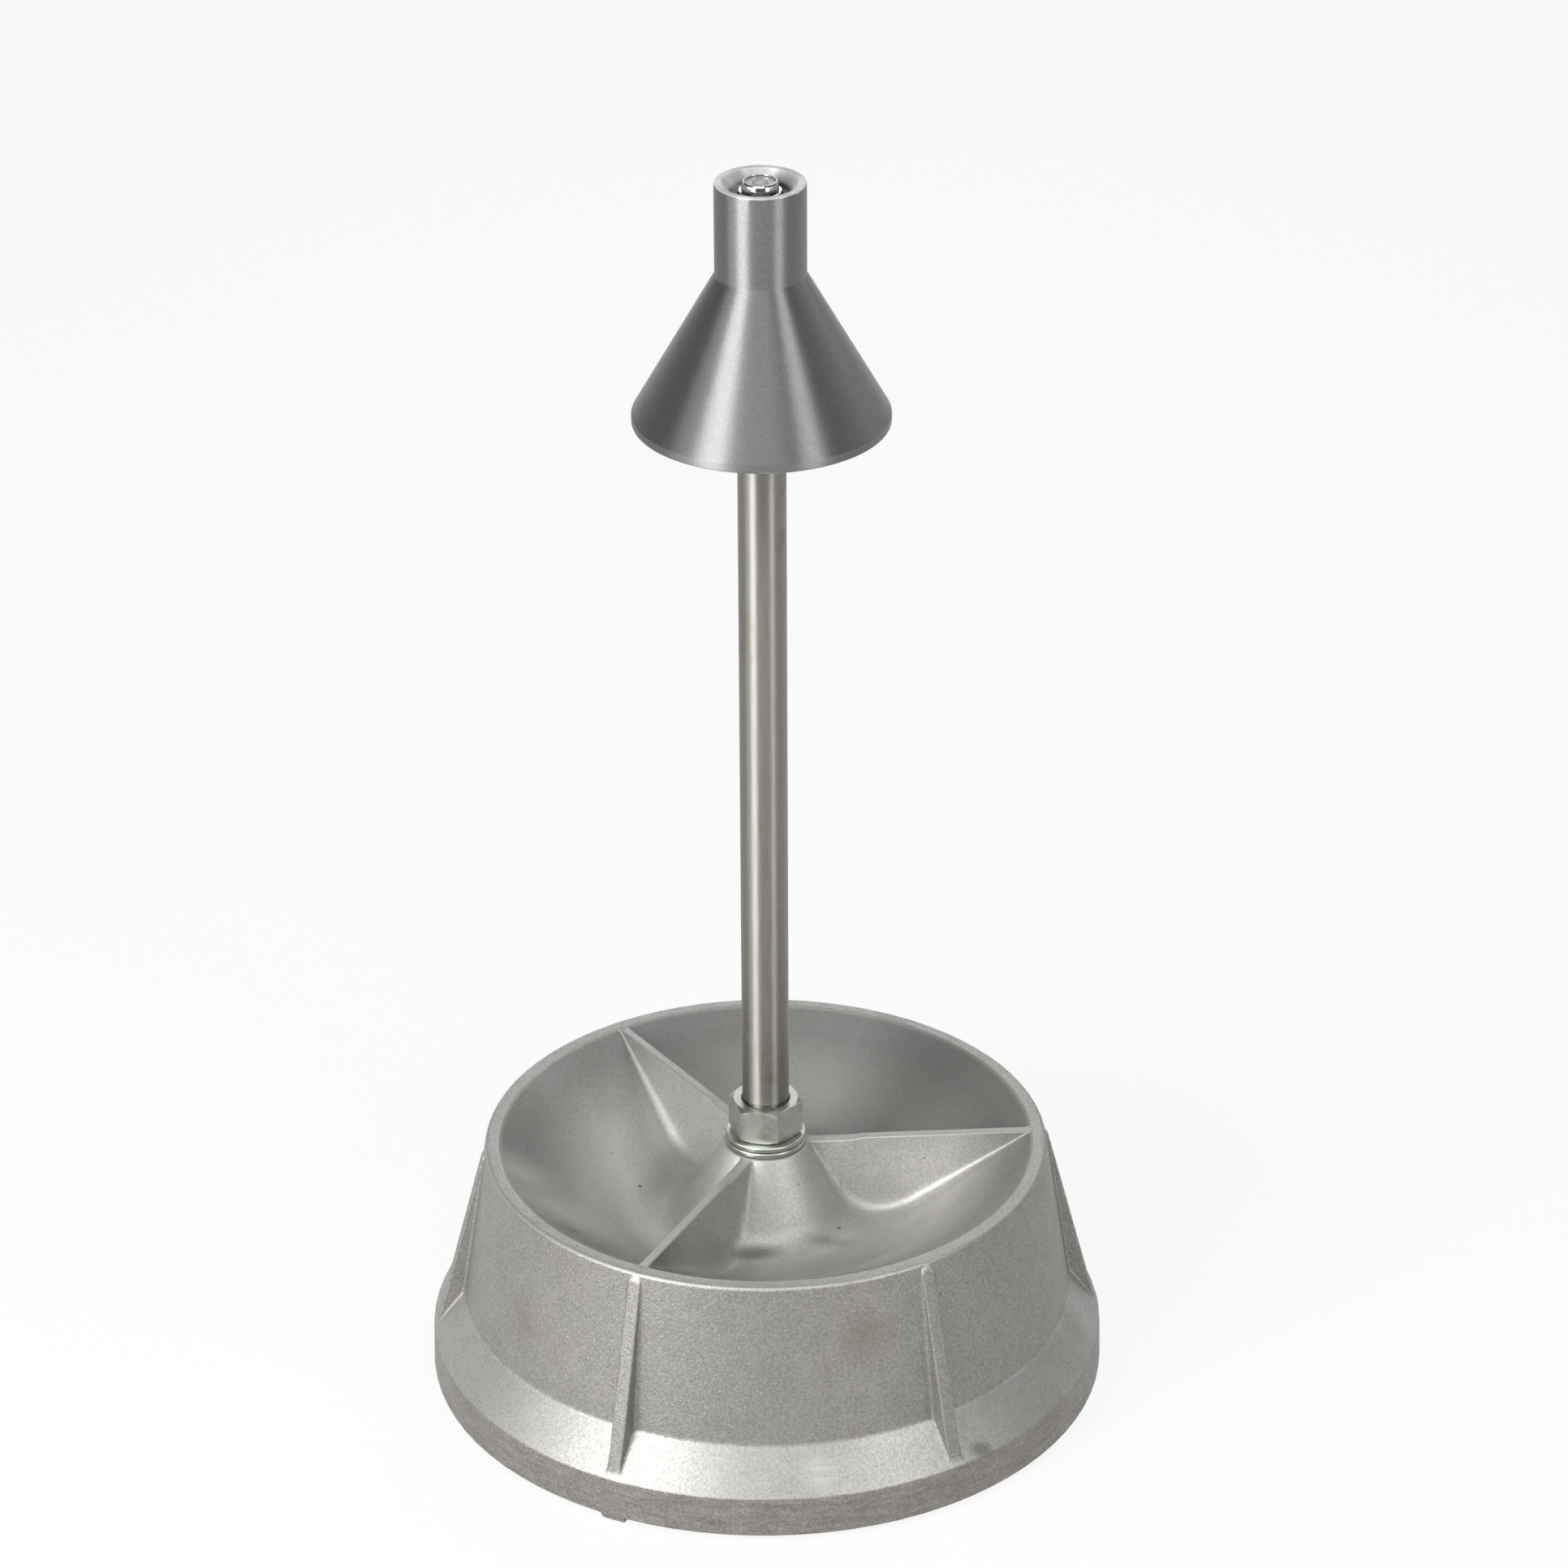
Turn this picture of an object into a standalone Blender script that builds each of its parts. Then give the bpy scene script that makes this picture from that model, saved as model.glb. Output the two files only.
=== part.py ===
"""Bubble wheel balancer.

A hollow cast base with a dished tray carries an upright rod. A cone head with a round bubble level
hangs on the needle at the top of the rod and tips freely on it. Lengths are metres and +Z is up.
The origin is on the ground under the rod, and one rib of the tray lies along +X.
"""
import math

import bmesh
import bpy
from mathutils import Matrix, Vector

# Clearances and cuts
GAP = 0.0003
CUT_OVERRUN = 0.0020

# Facets round a turn
BASE_STEPS = 64
HEAD_STEPS = 40
ROD_STEPS = 32
WASHER_STEPS = 32
LEVEL_STEPS = 24
SMALL_STEPS = 12
CORNER_STEPS = 3
FINE_CORNER_STEPS = 2
GRIP_RING_STEPS = 8
SMOOTH_ANGLE = math.radians(35)

# Base casting, outside
FOOT_HEIGHT = 0.0030
LIP_RADIUS = 0.1495
LIP_DRAFT = 0.0005
LIP_HEIGHT = 0.0184
FLANGE_WIDTH = 0.0140
FLANGE_RISE = 0.0186
WALL_TAPER = 0.0112
WALL_RISE = 0.0720
RIM_WIDTH = 0.0058
CASTING_WALL = 0.0045
LIP_EDGE_ROUND = 0.0010
LIP_SHOULDER_ROUND = 0.0018
FLANGE_FILLET = 0.0050
RIM_OUTER_ROUND = 0.0020
RIM_INNER_ROUND = 0.0012

# Base casting, tray and boss
TRAY_DEPTH = 0.0370
TRAY_FLOOR_RADIUS = 0.0595
TRAY_FILLET = 0.0120
BOSS_FOOT_RADIUS = 0.0380
BOSS_TOP_RADIUS = 0.0188
BOSS_DROP = 0.0008
BOSS_FILLET = 0.0060
BOSS_TOP_ROUND = 0.0010
HUB_RADIUS = 0.0240
HUB_DEPTH = 0.0150
UNDERSIDE_FILLET = 0.0030

# Base casting, ribs and feet
TRAY_RIB_COUNT = 3
TRAY_RIB_WIDTH = 0.0046
TRAY_RIB_DRAFT = math.radians(3.0)
TRAY_RIB_DROP = 0.0004
TRAY_RIB_STEP_RADIUS = 0.0390
TRAY_RIB_STEP_RUN = 0.0030
WALL_RIB_COUNT = 6
WALL_RIB_WIDTH = 0.0042
WALL_RIB_DRAFT = math.radians(5.0)
WALL_RIB_TOP_DROP = 0.0030
WALL_RIB_TOP_PROUD = 0.0008
WALL_RIB_FOOT_INSET = 0.0025
FOOT_WIDTH = 0.0110
FOOT_LENGTH = 0.0058
FOOT_TAPER = 0.0008
FOOT_INSET = 0.0006

# Rod, nut and washers
HEX_SIDES = 6
ROD_RADIUS = 0.01025
ROD_LENGTH = 0.4035
ROD_TOP_CHAMFER = 0.0010
ROD_FOOT_CHAMFER = 0.0012
THREAD_RADIUS = 0.0095
THREAD_REST = 0.0020
FLAT_WASHER_RADIUS = 0.0180
FLAT_WASHER_THICKNESS = 0.0023
SPRING_WASHER_RADIUS = 0.0177
SPRING_WASHER_THICKNESS = 0.0024
SPRING_WASHER_SPLIT = math.radians(7.0)
SPRING_WASHER_SPLIT_AT = math.radians(75.0)
WASHER_ROUND = 0.0007
WASHER_HOLE_ROOM = 0.0004
NUT_ACROSS_FLATS = 0.0288
NUT_HEIGHT = 0.0160
NUT_CHAMFER = 0.0022
NUT_CROWN_ANGLE = math.radians(30.0)
NUT_TURN = math.radians(15.1)

# Pivot
NEEDLE_RADIUS = 0.0015
NEEDLE_POINT_ANGLE = math.radians(30.0)
NEEDLE_STANDOUT = 0.0061
NEEDLE_SET = 0.0100
SEAT_RADIUS = 0.0024
SEAT_HEIGHT = 0.0030
SEAT_DIMPLE_RADIUS = 0.0018
SEAT_DIMPLE_ANGLE = math.radians(60.0)
HOLDER_RADIUS = 0.0040
HOLDER_HEIGHT = 0.0050
HOLDER_STEM_RADIUS = 0.0026
HOLDER_STEM_HEIGHT = 0.0040

# Balance head
HEAD_RADIUS = 0.01905
HEAD_CYLINDER = 0.0400
CONE_ANGLE = math.radians(29.5)
CONE_FOOT_RADIUS = 0.0540
CONE_LIP = 0.0040
HEAD_BORE_RADIUS = 0.0127
HEAD_EDGE_ROUND = 0.0006
CONE_EDGE_ROUND = 0.0010
RECESS_RIM = 0.0040
RECESS_DEPTH = 0.0048
RECESS_FLOOR_RADIUS = 0.0123
WEB_THICKNESS = 0.0065

# Bubble level
LEVEL_STANDOUT = 0.0006
BEZEL_RADIUS = 0.00785
BEZEL_LIP = 0.0006
BEZEL_OPENING_RADIUS = 0.0066
BEZEL_ROUND = 0.0009
LENS_RADIUS = 0.0070
LENS_EDGE = 0.0018
LENS_CENTRE = 0.0010
GASKET_WIDTH = 0.0012
GASKET_THICKNESS = 0.0006
CASE_FLANGE_RADIUS = 0.00905
CASE_FLANGE_THICKNESS = 0.0012
CASE_FLANGE_ROUND = 0.0004
CASE_BODY_RADIUS = 0.0076
CASE_HEIGHT = 0.0062
CASE_FLOOR = 0.0012
CHAMBER_RADIUS = 0.0058
BACKING_THICKNESS = 0.0004
GRIP_RING_SECTION = 0.0006
POCKET_ROOM = 0.0007
TARGET_RING_RADIUS = 0.0028
TARGET_RING_WIDTH = 0.0004
TARGET_RING_THICKNESS = 0.0002
BUBBLE_RADIUS = 0.0024
BUBBLE_THICKNESS = 0.0010
DOME_STEPS = 4

# Adjusting screws
SCREW_COUNT = 3
SCREW_CIRCLE = 0.0060
SCREW_RADIUS = 0.0015
SCREW_LENGTH = 0.0040
SCREW_CHAMFER = 0.0004
SCREW_SOCKET_RADIUS = 0.0008
SCREW_SOCKET_DEPTH = 0.0016

# Colour, roughness and metallic share of each material
FINISHES = {
    "cast_aluminium": ((0.43, 0.42, 0.40), 0.55, 0.9),
    "ground_steel": ((0.42, 0.41, 0.38), 0.32, 1.0),
    "zinc_plate": ((0.50, 0.53, 0.49), 0.28, 1.0),
    "hard_steel": ((0.35, 0.35, 0.36), 0.25, 1.0),
    "turned_aluminium": ((0.60, 0.60, 0.60), 0.30, 1.0),
    "bright_plate": ((0.75, 0.75, 0.75), 0.12, 1.0),
    "level_glass": ((0.86, 0.89, 0.88), 0.05, 0.0),
    "black_rubber": ((0.03, 0.03, 0.03), 0.70, 0.0),
    "pale_disc": ((0.78, 0.80, 0.78), 0.45, 0.0),
    "level_liquid": ((0.70, 0.76, 0.70), 0.05, 0.0),
    "black_ink": ((0.02, 0.02, 0.02), 0.50, 0.0),
}

# Heights of the base, from the ground
LIP_BOTTOM = FOOT_HEIGHT
LIP_TOP = LIP_BOTTOM + LIP_HEIGHT
FLANGE_TOP = LIP_TOP + FLANGE_RISE
RIM_TOP = FLANGE_TOP + WALL_RISE
FLOOR_TOP = RIM_TOP - TRAY_DEPTH
BOSS_TOP = RIM_TOP - BOSS_DROP
HUB_BOTTOM = FLOOR_TOP - HUB_DEPTH

# Radii of the base
LIP_TOP_RADIUS = LIP_RADIUS - LIP_DRAFT
FLANGE_RADIUS = LIP_TOP_RADIUS - FLANGE_WIDTH
RIM_RADIUS = FLANGE_RADIUS - WALL_TAPER
RIM_INNER_RADIUS = RIM_RADIUS - RIM_WIDTH
THREAD_HOLE_RADIUS = THREAD_RADIUS + GAP

# Heights of what stands on the boss
FLAT_WASHER_BOTTOM = BOSS_TOP + GAP
SPRING_WASHER_BOTTOM = FLAT_WASHER_BOTTOM + FLAT_WASHER_THICKNESS + GAP
NUT_BOTTOM = SPRING_WASHER_BOTTOM + SPRING_WASHER_THICKNESS + GAP
NUT_TOP = NUT_BOTTOM + NUT_HEIGHT
ROD_SHOULDER = NUT_TOP + GAP
ROD_TOP = ROD_SHOULDER + ROD_LENGTH
NEEDLE_TIP = ROD_TOP + NEEDLE_STANDOUT

# Depths in the head, down from its top
BEZEL_TOP_DEPTH = -LEVEL_STANDOUT
LENS_TOP_DEPTH = BEZEL_TOP_DEPTH + BEZEL_LIP + GAP
LENS_EDGE_DEPTH = LENS_TOP_DEPTH + LENS_EDGE
GASKET_TOP_DEPTH = LENS_EDGE_DEPTH + GAP
GASKET_BOTTOM_DEPTH = GASKET_TOP_DEPTH + GASKET_THICKNESS
CASE_TOP_DEPTH = GASKET_BOTTOM_DEPTH + GAP
CASE_BOTTOM_DEPTH = CASE_TOP_DEPTH + CASE_HEIGHT
CHAMBER_DEPTH = CASE_BOTTOM_DEPTH - CASE_FLOOR
POCKET_DEPTH = CASE_BOTTOM_DEPTH + POCKET_ROOM
CEILING_DEPTH = POCKET_DEPTH + WEB_THICKNESS
HOLDER_TOP_DEPTH = CEILING_DEPTH + GAP
HOLDER_BOTTOM_DEPTH = HOLDER_TOP_DEPTH + HOLDER_HEIGHT
SEAT_BOTTOM_DEPTH = HOLDER_BOTTOM_DEPTH - GAP
SEAT_TOP_DEPTH = SEAT_BOTTOM_DEPTH - SEAT_HEIGHT
DIMPLE_HEIGHT = SEAT_DIMPLE_RADIUS / math.tan(SEAT_DIMPLE_ANGLE)
PIVOT_DEPTH = SEAT_BOTTOM_DEPTH - DIMPLE_HEIGHT + GAP
HEAD_TOP = NEEDLE_TIP + PIVOT_DEPTH

# Radii about the pivot of the domed faces in the level
LENS_DOME = PIVOT_DEPTH - LENS_TOP_DEPTH - LENS_CENTRE
BUBBLE_TOP_DOME = LENS_DOME - GAP
BUBBLE_BOTTOM_DOME = BUBBLE_TOP_DOME - BUBBLE_THICKNESS
FLUID_DOME = BUBBLE_BOTTOM_DOME - GAP


def clear_scene():
    for old in list(bpy.data.objects):
        bpy.data.objects.remove(old, do_unlink=True)


def material(name, colour, roughness, metallic):
    made = bpy.data.materials.new(name)
    made.use_nodes = True
    shader = made.node_tree.nodes["Principled BSDF"]
    shader.inputs["Base Color"].default_value = (*colour, 1.0)
    shader.inputs["Roughness"].default_value = roughness
    shader.inputs["Metallic"].default_value = metallic
    return made


def rounded(outline, rounds, steps=CORNER_STEPS):
    """Outline of (radius, height) points with arcs in place of the corners that have a round."""
    points = [Vector(point) for point in outline]
    result = []
    for index, point in enumerate(points):
        size = rounds.get(index, 0)
        if size == 0:
            result.append(point)
            continue
        before = points[index - 1] - point
        after = points[(index + 1) % len(points)] - point
        half = before.angle(after) / 2
        reach = min(size / math.tan(half), before.length / 2, after.length / 2)
        radius = reach * math.tan(half)
        middle = (before.normalized() + after.normalized()).normalized()
        centre = point + middle * (radius / math.sin(half))
        start = point + before.normalized() * reach - centre
        end = point + after.normalized() * reach - centre
        sweep = start.angle_signed(end)
        for step in range(steps + 1):
            turned = start.copy()
            turned.rotate(Matrix.Rotation(-sweep * step / steps, 2))
            result.append(centre + turned)
    return result


def crossing(line_a, line_b):
    """Point where two lines, each a point and a direction, meet."""
    point_a, along_a = line_a
    point_b, along_b = line_b
    scale = along_a.cross(along_b)
    return point_a + along_a * ((point_b - point_a).cross(along_b) / scale)


def inset_line(start, end, distance):
    """The line from start to end moved to its right by a distance."""
    along = (Vector(end) - Vector(start)).normalized()
    right = Vector((along.y, -along.x))
    return Vector(start) + right * distance, along


def dome(radius, from_radius, to_radius, steps=DOME_STEPS):
    """Points of a sphere about the needle's tip, between two distances from the axis."""
    points = []
    for step in range(steps + 1):
        across = from_radius + (to_radius - from_radius) * step / steps
        points.append((across, NEEDLE_TIP + math.sqrt(radius ** 2 - across ** 2)))
    return points


def add_object(name, mesh_data, finish=None):
    mesh = bpy.data.meshes.new(name)
    bmesh.ops.recalc_face_normals(mesh_data, faces=mesh_data.faces)
    mesh_data.to_mesh(mesh)
    mesh_data.free()
    mesh.shade_smooth()
    mesh.set_sharp_from_angle(angle=SMOOTH_ANGLE)
    made = bpy.data.objects.new(name, mesh)
    bpy.context.scene.collection.objects.link(made)
    if finish:
        made.data.materials.append(finish)
    return made


def turned(name, outline, steps, finish, closed=True):
    """Piece turned about Z from an outline; an open outline starts and ends on the axis."""
    data = bmesh.new()
    rings = []
    for across, height in outline:
        if across == 0:
            rings.append([data.verts.new((0, 0, height))] * steps)
            continue
        ring = []
        for step in range(steps):
            angle = 2 * math.pi * step / steps
            ring.append(data.verts.new((across * math.cos(angle), across * math.sin(angle), height)))
        rings.append(ring)
    pairs = list(zip(rings, rings[1:]))
    if closed:
        pairs.append((rings[-1], rings[0]))
    for lower, upper in pairs:
        for step in range(steps):
            after = (step + 1) % steps
            corners = [lower[step], lower[after], upper[after], upper[step]]
            unique = list(dict.fromkeys(corners))
            if len(unique) > 2:
                data.faces.new(unique)
    return add_object(name, data, finish)


def web(name, outline, width):
    """Flat web that stands on the X axis; width gives its thickness at a (radius, height) point."""
    data = bmesh.new()
    left = []
    right = []
    for across, height in outline:
        half = width(across, height) / 2
        left.append(data.verts.new((across, half, height)))
        right.append(data.verts.new((across, -half, height)))
    data.faces.new(left)
    data.faces.new(right)
    for index in range(len(outline)):
        after = (index + 1) % len(outline)
        data.faces.new((left[index], right[index], right[after], left[after]))
    return add_object(name, data)


def hide(guide):
    guide.hide_render = True
    guide.display_type = "WIRE"
    guide.hide_set(True)


def boolean(target, other, operation):
    hide(other)
    step = target.modifiers.new(other.name, "BOOLEAN")
    step.operation = operation
    step.solver = "EXACT"
    step.object = other


def turned_about_z(made, angle):
    made.rotation_euler = (0, 0, angle)
    return made


def base_outline():
    lip = (LIP_RADIUS, LIP_BOTTOM)
    shoulder = (LIP_TOP_RADIUS, LIP_TOP)
    junction = (FLANGE_RADIUS, FLANGE_TOP)
    rim_outer = (RIM_RADIUS, RIM_TOP)
    rim_inner = (RIM_INNER_RADIUS, RIM_TOP)
    floor_outer = (TRAY_FLOOR_RADIUS, FLOOR_TOP)
    floor_inner = (BOSS_FOOT_RADIUS, FLOOR_TOP)
    boss_edge = (BOSS_TOP_RADIUS, BOSS_TOP)
    inside_lip = inset_line(shoulder, lip, CASTING_WALL)
    inside_flange = inset_line(junction, shoulder, CASTING_WALL)
    inside_wall = inset_line(rim_outer, junction, CASTING_WALL)
    under_tray = inset_line(floor_outer, rim_inner, CASTING_WALL)
    under_floor = inset_line(floor_inner, floor_outer, CASTING_WALL)
    hub_side = (Vector((HUB_RADIUS, HUB_BOTTOM)), Vector((0, 1)))
    ground_line = (Vector((0, LIP_BOTTOM)), Vector((1, 0)))
    outline = [
        lip,
        shoulder,
        junction,
        rim_outer,
        rim_inner,
        floor_outer,
        floor_inner,
        boss_edge,
        (THREAD_HOLE_RADIUS, BOSS_TOP),
        (THREAD_HOLE_RADIUS, HUB_BOTTOM),
        (HUB_RADIUS, HUB_BOTTOM),
        crossing(hub_side, under_floor),
        crossing(under_floor, under_tray),
        crossing(under_tray, inside_wall),
        crossing(inside_wall, inside_flange),
        crossing(inside_flange, inside_lip),
        crossing(inside_lip, ground_line),
    ]
    rounds = {
        0: LIP_EDGE_ROUND,
        1: LIP_SHOULDER_ROUND,
        2: FLANGE_FILLET,
        3: RIM_OUTER_ROUND,
        4: RIM_INNER_ROUND,
        5: TRAY_FILLET,
        6: BOSS_FILLET,
        7: BOSS_TOP_ROUND,
        11: UNDERSIDE_FILLET,
        13: UNDERSIDE_FILLET,
    }
    return rounded(outline, rounds)


def tray_rib(index):
    crest = RIM_TOP - TRAY_RIB_DROP
    low_crest = BOSS_TOP - TRAY_RIB_DROP
    inside = CASTING_WALL / 2
    outline = [
        (THREAD_HOLE_RADIUS + inside, low_crest),
        (TRAY_RIB_STEP_RADIUS, low_crest),
        (TRAY_RIB_STEP_RADIUS + TRAY_RIB_STEP_RUN, crest),
        (RIM_INNER_RADIUS + inside, crest),
        (RIM_INNER_RADIUS + inside, RIM_TOP - CASTING_WALL),
        (TRAY_FLOOR_RADIUS, FLOOR_TOP - inside),
        (THREAD_HOLE_RADIUS + inside, FLOOR_TOP - inside),
    ]

    def width(across, height):
        return TRAY_RIB_WIDTH + 2 * math.tan(TRAY_RIB_DRAFT) * (crest - height)

    made = web(f"guide_tray_rib_{index + 1}", outline, width)
    return turned_about_z(made, 2 * math.pi * index / TRAY_RIB_COUNT)


def wall_rib(index):
    top = RIM_TOP - WALL_RIB_TOP_DROP
    inside = CASTING_WALL / 2
    upper = Vector((RIM_RADIUS + WALL_RIB_TOP_PROUD, top))
    lower = Vector((LIP_TOP_RADIUS - WALL_RIB_FOOT_INSET, LIP_TOP))
    edge = (lower - upper).normalized()
    outline = [
        upper,
        lower,
        (LIP_TOP_RADIUS - CASTING_WALL, LIP_TOP - inside),
        (FLANGE_RADIUS - inside, FLANGE_TOP - inside),
        (RIM_RADIUS - inside, top),
    ]

    def width(across, height):
        inward = edge.cross(Vector((across, height)) - upper)
        return WALL_RIB_WIDTH + 2 * math.tan(WALL_RIB_DRAFT) * abs(inward)

    made = web(f"guide_wall_rib_{index + 1}", outline, width)
    return turned_about_z(made, 2 * math.pi * index / WALL_RIB_COUNT)


def foot(index):
    outer = LIP_RADIUS - FOOT_INSET
    inner = outer - FOOT_LENGTH
    root = LIP_BOTTOM + CASTING_WALL / 2
    outline = [
        (inner, 0),
        (outer - FOOT_TAPER, 0),
        (outer, root),
        (inner - FOOT_TAPER, root),
    ]

    def width(across, height):
        return FOOT_WIDTH + 2 * FOOT_TAPER * height / root

    made = web(f"guide_foot_{index + 1}", outline, width)
    return turned_about_z(made, 2 * math.pi * index / TRAY_RIB_COUNT)


def build_base(finish):
    base = turned("base_casting", base_outline(), BASE_STEPS, finish)
    for index in range(TRAY_RIB_COUNT):
        boolean(base, tray_rib(index), "UNION")
    for index in range(WALL_RIB_COUNT):
        boolean(base, wall_rib(index), "UNION")
    for index in range(TRAY_RIB_COUNT):
        boolean(base, foot(index), "UNION")
    return base


def build_rod(finish):
    needle_hole = NEEDLE_RADIUS + GAP
    outline = [
        (0, HUB_BOTTOM + THREAD_REST),
        (THREAD_RADIUS, HUB_BOTTOM + THREAD_REST),
        (THREAD_RADIUS, ROD_SHOULDER),
        (ROD_RADIUS - ROD_FOOT_CHAMFER, ROD_SHOULDER),
        (ROD_RADIUS, ROD_SHOULDER + ROD_FOOT_CHAMFER),
        (ROD_RADIUS, ROD_TOP - ROD_TOP_CHAMFER),
        (ROD_RADIUS - ROD_TOP_CHAMFER, ROD_TOP),
        (needle_hole, ROD_TOP),
        (needle_hole, ROD_TOP - NEEDLE_SET - GAP),
        (0, ROD_TOP - NEEDLE_SET - GAP),
    ]
    return turned("support_rod", outline, ROD_STEPS, finish, closed=False)


def ring_section(inner, outer, bottom, top, edge):
    corners = [(inner, bottom), (outer, bottom), (outer, top), (inner, top)]
    return rounded(corners, dict.fromkeys(range(len(corners)), edge), FINE_CORNER_STEPS)


def build_flat_washer(finish):
    hole = THREAD_RADIUS + WASHER_HOLE_ROOM
    top = FLAT_WASHER_BOTTOM + FLAT_WASHER_THICKNESS
    section = ring_section(hole, FLAT_WASHER_RADIUS, FLAT_WASHER_BOTTOM, top, WASHER_ROUND)
    return turned("flat_washer", section, WASHER_STEPS, finish)


def build_spring_washer(finish):
    hole = THREAD_RADIUS + WASHER_HOLE_ROOM
    top = SPRING_WASHER_BOTTOM + SPRING_WASHER_THICKNESS
    section = ring_section(hole, SPRING_WASHER_RADIUS, SPRING_WASHER_BOTTOM, top, WASHER_ROUND)
    data = bmesh.new()
    rings = []
    sweep = 2 * math.pi - SPRING_WASHER_SPLIT
    for step in range(WASHER_STEPS + 1):
        angle = SPRING_WASHER_SPLIT_AT + SPRING_WASHER_SPLIT / 2 + sweep * step / WASHER_STEPS
        ring = []
        for across, height in section:
            ring.append(data.verts.new((across * math.cos(angle), across * math.sin(angle), height)))
        rings.append(ring)
    count = len(section)
    for before, after in zip(rings, rings[1:]):
        for index in range(count):
            other = (index + 1) % count
            data.faces.new((before[index], before[other], after[other], after[index]))
    data.faces.new(rings[0])
    data.faces.new(rings[-1])
    return add_object("spring_washer", data, finish)


def prism(name, radius, sides, bottom, top, turn=0):
    """Upright prism with its corners on a circle."""
    data = bmesh.new()
    lower = []
    upper = []
    for side in range(sides):
        angle = turn + 2 * math.pi * side / sides
        place = (radius * math.cos(angle), radius * math.sin(angle))
        lower.append(data.verts.new((*place, bottom)))
        upper.append(data.verts.new((*place, top)))
    data.faces.new(lower)
    data.faces.new(upper)
    for side in range(sides):
        after = (side + 1) % sides
        data.faces.new((lower[side], lower[after], upper[after], upper[side]))
    return add_object(name, data)


def build_nut(finish):
    corner = NUT_ACROSS_FLATS / math.sqrt(3)
    edge = NUT_ACROSS_FLATS / 2 - GAP
    drop = (corner - edge + GAP) * math.tan(NUT_CROWN_ANGLE)
    blank = [
        (THREAD_HOLE_RADIUS + NUT_CHAMFER / 2, NUT_BOTTOM),
        (edge, NUT_BOTTOM),
        (corner + GAP, NUT_BOTTOM + drop),
        (corner + GAP, NUT_TOP - drop),
        (edge, NUT_TOP),
        (THREAD_HOLE_RADIUS + NUT_CHAMFER / 2, NUT_TOP),
        (THREAD_HOLE_RADIUS, NUT_TOP - NUT_CHAMFER / 2),
        (THREAD_HOLE_RADIUS, NUT_BOTTOM + NUT_CHAMFER / 2),
    ]
    nut = turned("lock_nut", blank, HEAD_STEPS, finish)
    flats = prism(
        "guide_nut_flats", corner, HEX_SIDES, NUT_BOTTOM - CUT_OVERRUN, NUT_TOP + CUT_OVERRUN,
        NUT_TURN + math.pi / HEX_SIDES,
    )
    boolean(nut, flats, "INTERSECT")
    return nut


def build_needle(finish):
    shoulder = NEEDLE_TIP - NEEDLE_RADIUS / math.tan(NEEDLE_POINT_ANGLE)
    outline = [
        (0, ROD_TOP - NEEDLE_SET),
        (NEEDLE_RADIUS, ROD_TOP - NEEDLE_SET),
        (NEEDLE_RADIUS, shoulder),
        (0, NEEDLE_TIP),
    ]
    return turned("pivot_needle", outline, SMALL_STEPS, finish, closed=False)


def build_seat(finish):
    bottom = HEAD_TOP - SEAT_BOTTOM_DEPTH
    outline = [
        (0, bottom + DIMPLE_HEIGHT),
        (SEAT_DIMPLE_RADIUS, bottom),
        (SEAT_RADIUS, bottom),
        (SEAT_RADIUS, HEAD_TOP - SEAT_TOP_DEPTH),
        (0, HEAD_TOP - SEAT_TOP_DEPTH),
    ]
    return turned("pivot_seat", outline, SMALL_STEPS, finish, closed=False)


def build_holder(finish):
    bottom = HEAD_TOP - HOLDER_BOTTOM_DEPTH
    top = HEAD_TOP - HOLDER_TOP_DEPTH
    roof = HEAD_TOP - SEAT_TOP_DEPTH + GAP
    outline = [
        (0, roof),
        (SEAT_RADIUS + GAP, roof),
        (SEAT_RADIUS + GAP, bottom),
        (HOLDER_RADIUS, bottom),
        (HOLDER_RADIUS, top),
        (HOLDER_STEM_RADIUS, top),
        (HOLDER_STEM_RADIUS, top + HOLDER_STEM_HEIGHT),
        (0, top + HOLDER_STEM_HEIGHT),
    ]
    return turned("seat_holder", outline, SMALL_STEPS, finish, closed=False)


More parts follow.
